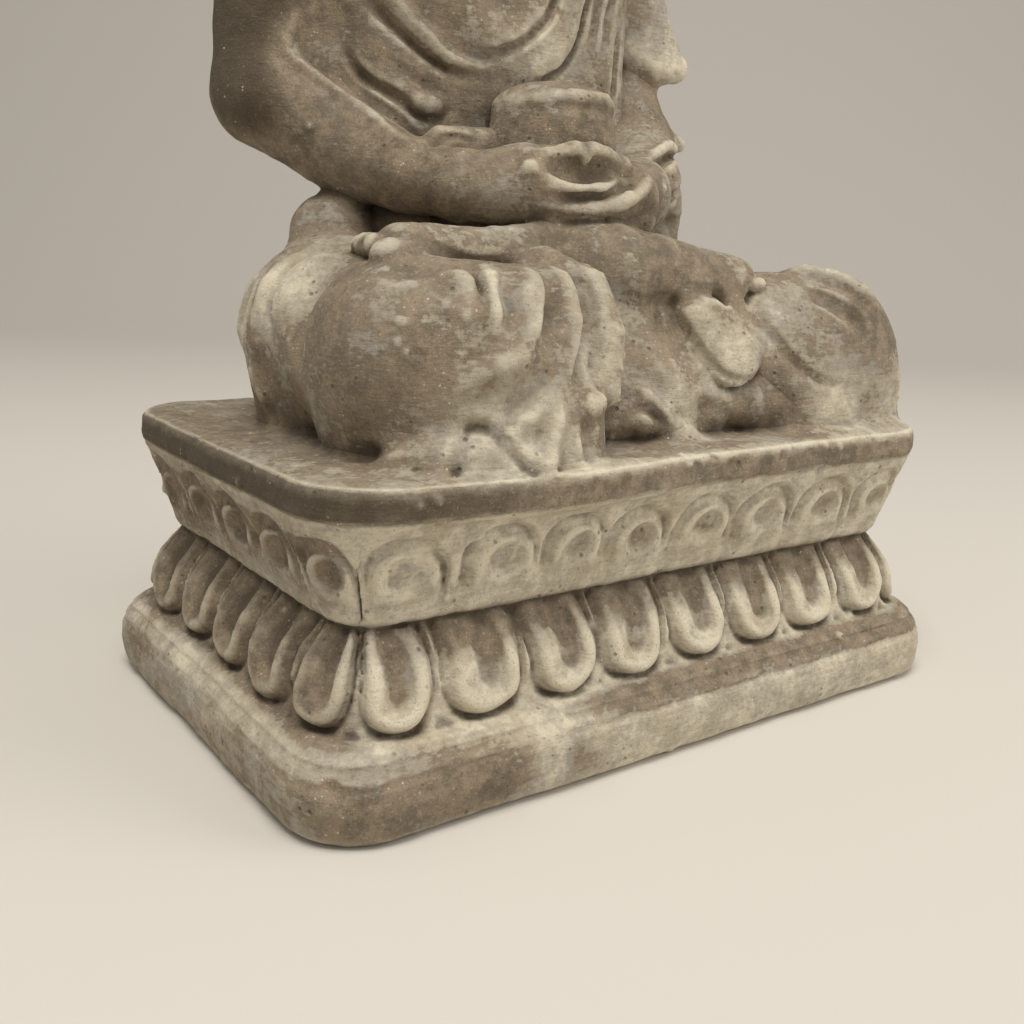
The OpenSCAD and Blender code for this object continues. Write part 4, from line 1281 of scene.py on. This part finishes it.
def make_camera():
    data = bpy.data.cameras.new("camera")
    data.lens = CAMERA_LENS
    data.sensor_width = 36
    data.clip_start = 0.005
    data.clip_end = 20
    camera = bpy.data.objects.new("camera", data)
    bpy.context.scene.collection.objects.link(camera)
    turn = Matrix.Rotation(math.radians(CAMERA_AZIMUTH), 4, "Z")
    tilt = Matrix.Rotation(math.radians(90 - CAMERA_PITCH), 4, "X")
    roll = Matrix.Rotation(math.radians(CAMERA_ROLL), 4, "Z")
    spot = Matrix.Translation([c * 2 * HALF_W * MM for c in CAMERA_PLACE])
    camera.matrix_world = spot @ turn @ tilt @ roll
    bpy.context.scene.camera = camera


def plain(name, colour):
    material = bpy.data.materials.new(name)
    material.use_nodes = True
    shader = material.node_tree.nodes["Principled BSDF"]
    shader.inputs["Base Color"].default_value = (*colour, 1)
    shader.inputs["Roughness"].default_value = 0.9
    return material


def make_sweep():
    """A pale floor that curves up into a backdrop behind the statue, as the camera sees it."""
    run = [(-1.2, 0.0)]
    for step in range(13):
        angle = math.radians(90 * step / 12)
        run.append((0.55 + 0.5 * math.sin(angle), 0.5 - 0.5 * math.cos(angle)))
    run.append((1.05, 1.8))
    turn = Matrix.Rotation(math.radians(CAMERA_AZIMUTH), 4, "Z")
    verts = [turn @ Vector((side * 2.4, y, z)) for y, z in run for side in (-1, 1)]
    faces = [(2 * k, 2 * k + 1, 2 * k + 3, 2 * k + 2) for k in range(len(run) - 1)]
    mesh = bpy.data.meshes.new("sweep")
    mesh.from_pydata(verts, [], faces)
    mesh.polygons.foreach_set("use_smooth", [True] * len(faces))
    mesh.materials.append(plain("sweep", (0.62, 0.585, 0.53)))
    sweep = bpy.data.objects.new("sweep", mesh)
    bpy.context.scene.collection.objects.link(sweep)


def make_light(spot, aim, size, power, colour):
    data = bpy.data.lights.new("soft_light", "AREA")
    data.size = size
    data.energy = power
    data.color = colour
    lamp = bpy.data.objects.new("soft_light", data)
    lamp.location = spot
    lamp.rotation_euler = (Vector(spot) - Vector(aim)).to_track_quat("Z", "Y").to_euler()
    bpy.context.scene.collection.objects.link(lamp)


def make_studio():
    make_sweep()
    world = bpy.data.worlds.new("studio")
    bpy.context.scene.world = world
    world.use_nodes = True
    sky = world.node_tree.nodes["Background"]
    sky.inputs["Color"].default_value = (1.0, 0.97, 0.92, 1)
    sky.inputs["Strength"].default_value = 0.45
    middle = (0, 0, 0.06)
    make_light((-0.2, -0.2, 0.8), middle, 0.4, 5.2, (1.0, 0.97, 0.92))
    make_light((0.6, -0.6, 0.4), middle, 0.6, 3.4, (1.0, 0.97, 0.93))
    bpy.context.scene.view_settings.view_transform = "Standard"


# ---- Build ----

MARGIN = 2.0                       # room round the casting
CASTING_TOP = 106                  # the casting's grid ends in the neck ...
BUST_FROM, BUST_TOP = 84, 151      # ... and the bust has a finer one, between these heights
BUST_PIECES = ("neck", "head", "right_ear", "left_ear", "hair_cap", "ushnisha")

make_camera()
casting = Clay((-HALF_W - MARGIN, -HALF_D - MARGIN, -MARGIN),
               (HALF_W + MARGIN, HALF_D + MARGIN, SEAT_Z + CASTING_TOP * SCALE), CELL)
sculpt_pedestal(casting)
sculpt_legs(casting)
sculpt_feet(casting)
sculpt_robe_edges(casting)
sculpt_body(casting)
sculpt_arms(casting)
sculpt_neck(casting)
carve_right_knee(casting)
carve_lap(casting)
carve_left_knee(casting)
carve_feet(casting)
carve_chest(casting)
carve_back(casting)
carve_arms(casting)
carve_hands(casting)
weather_casting(casting)
casting.roughen()
casting.stand()
casting.survey()

bust = Clay((-20, -8, SEAT_Z + BUST_FROM * SCALE), (20, 40, SEAT_Z + BUST_TOP * SCALE), HEAD_CELL)
sculpt_neck(bust, flared=True)
sculpt_head(bust)
carve_face(bust)
carve_neck(bust)
bust.roughen()
bust.survey(0.6)

cement_look = cement()
for part in frame["record"]["subparts"]:
    name = part["node"]
    clay = bust if name in BUST_PIECES else casting
    make_piece(name, clay, cement_look)
make_studio()
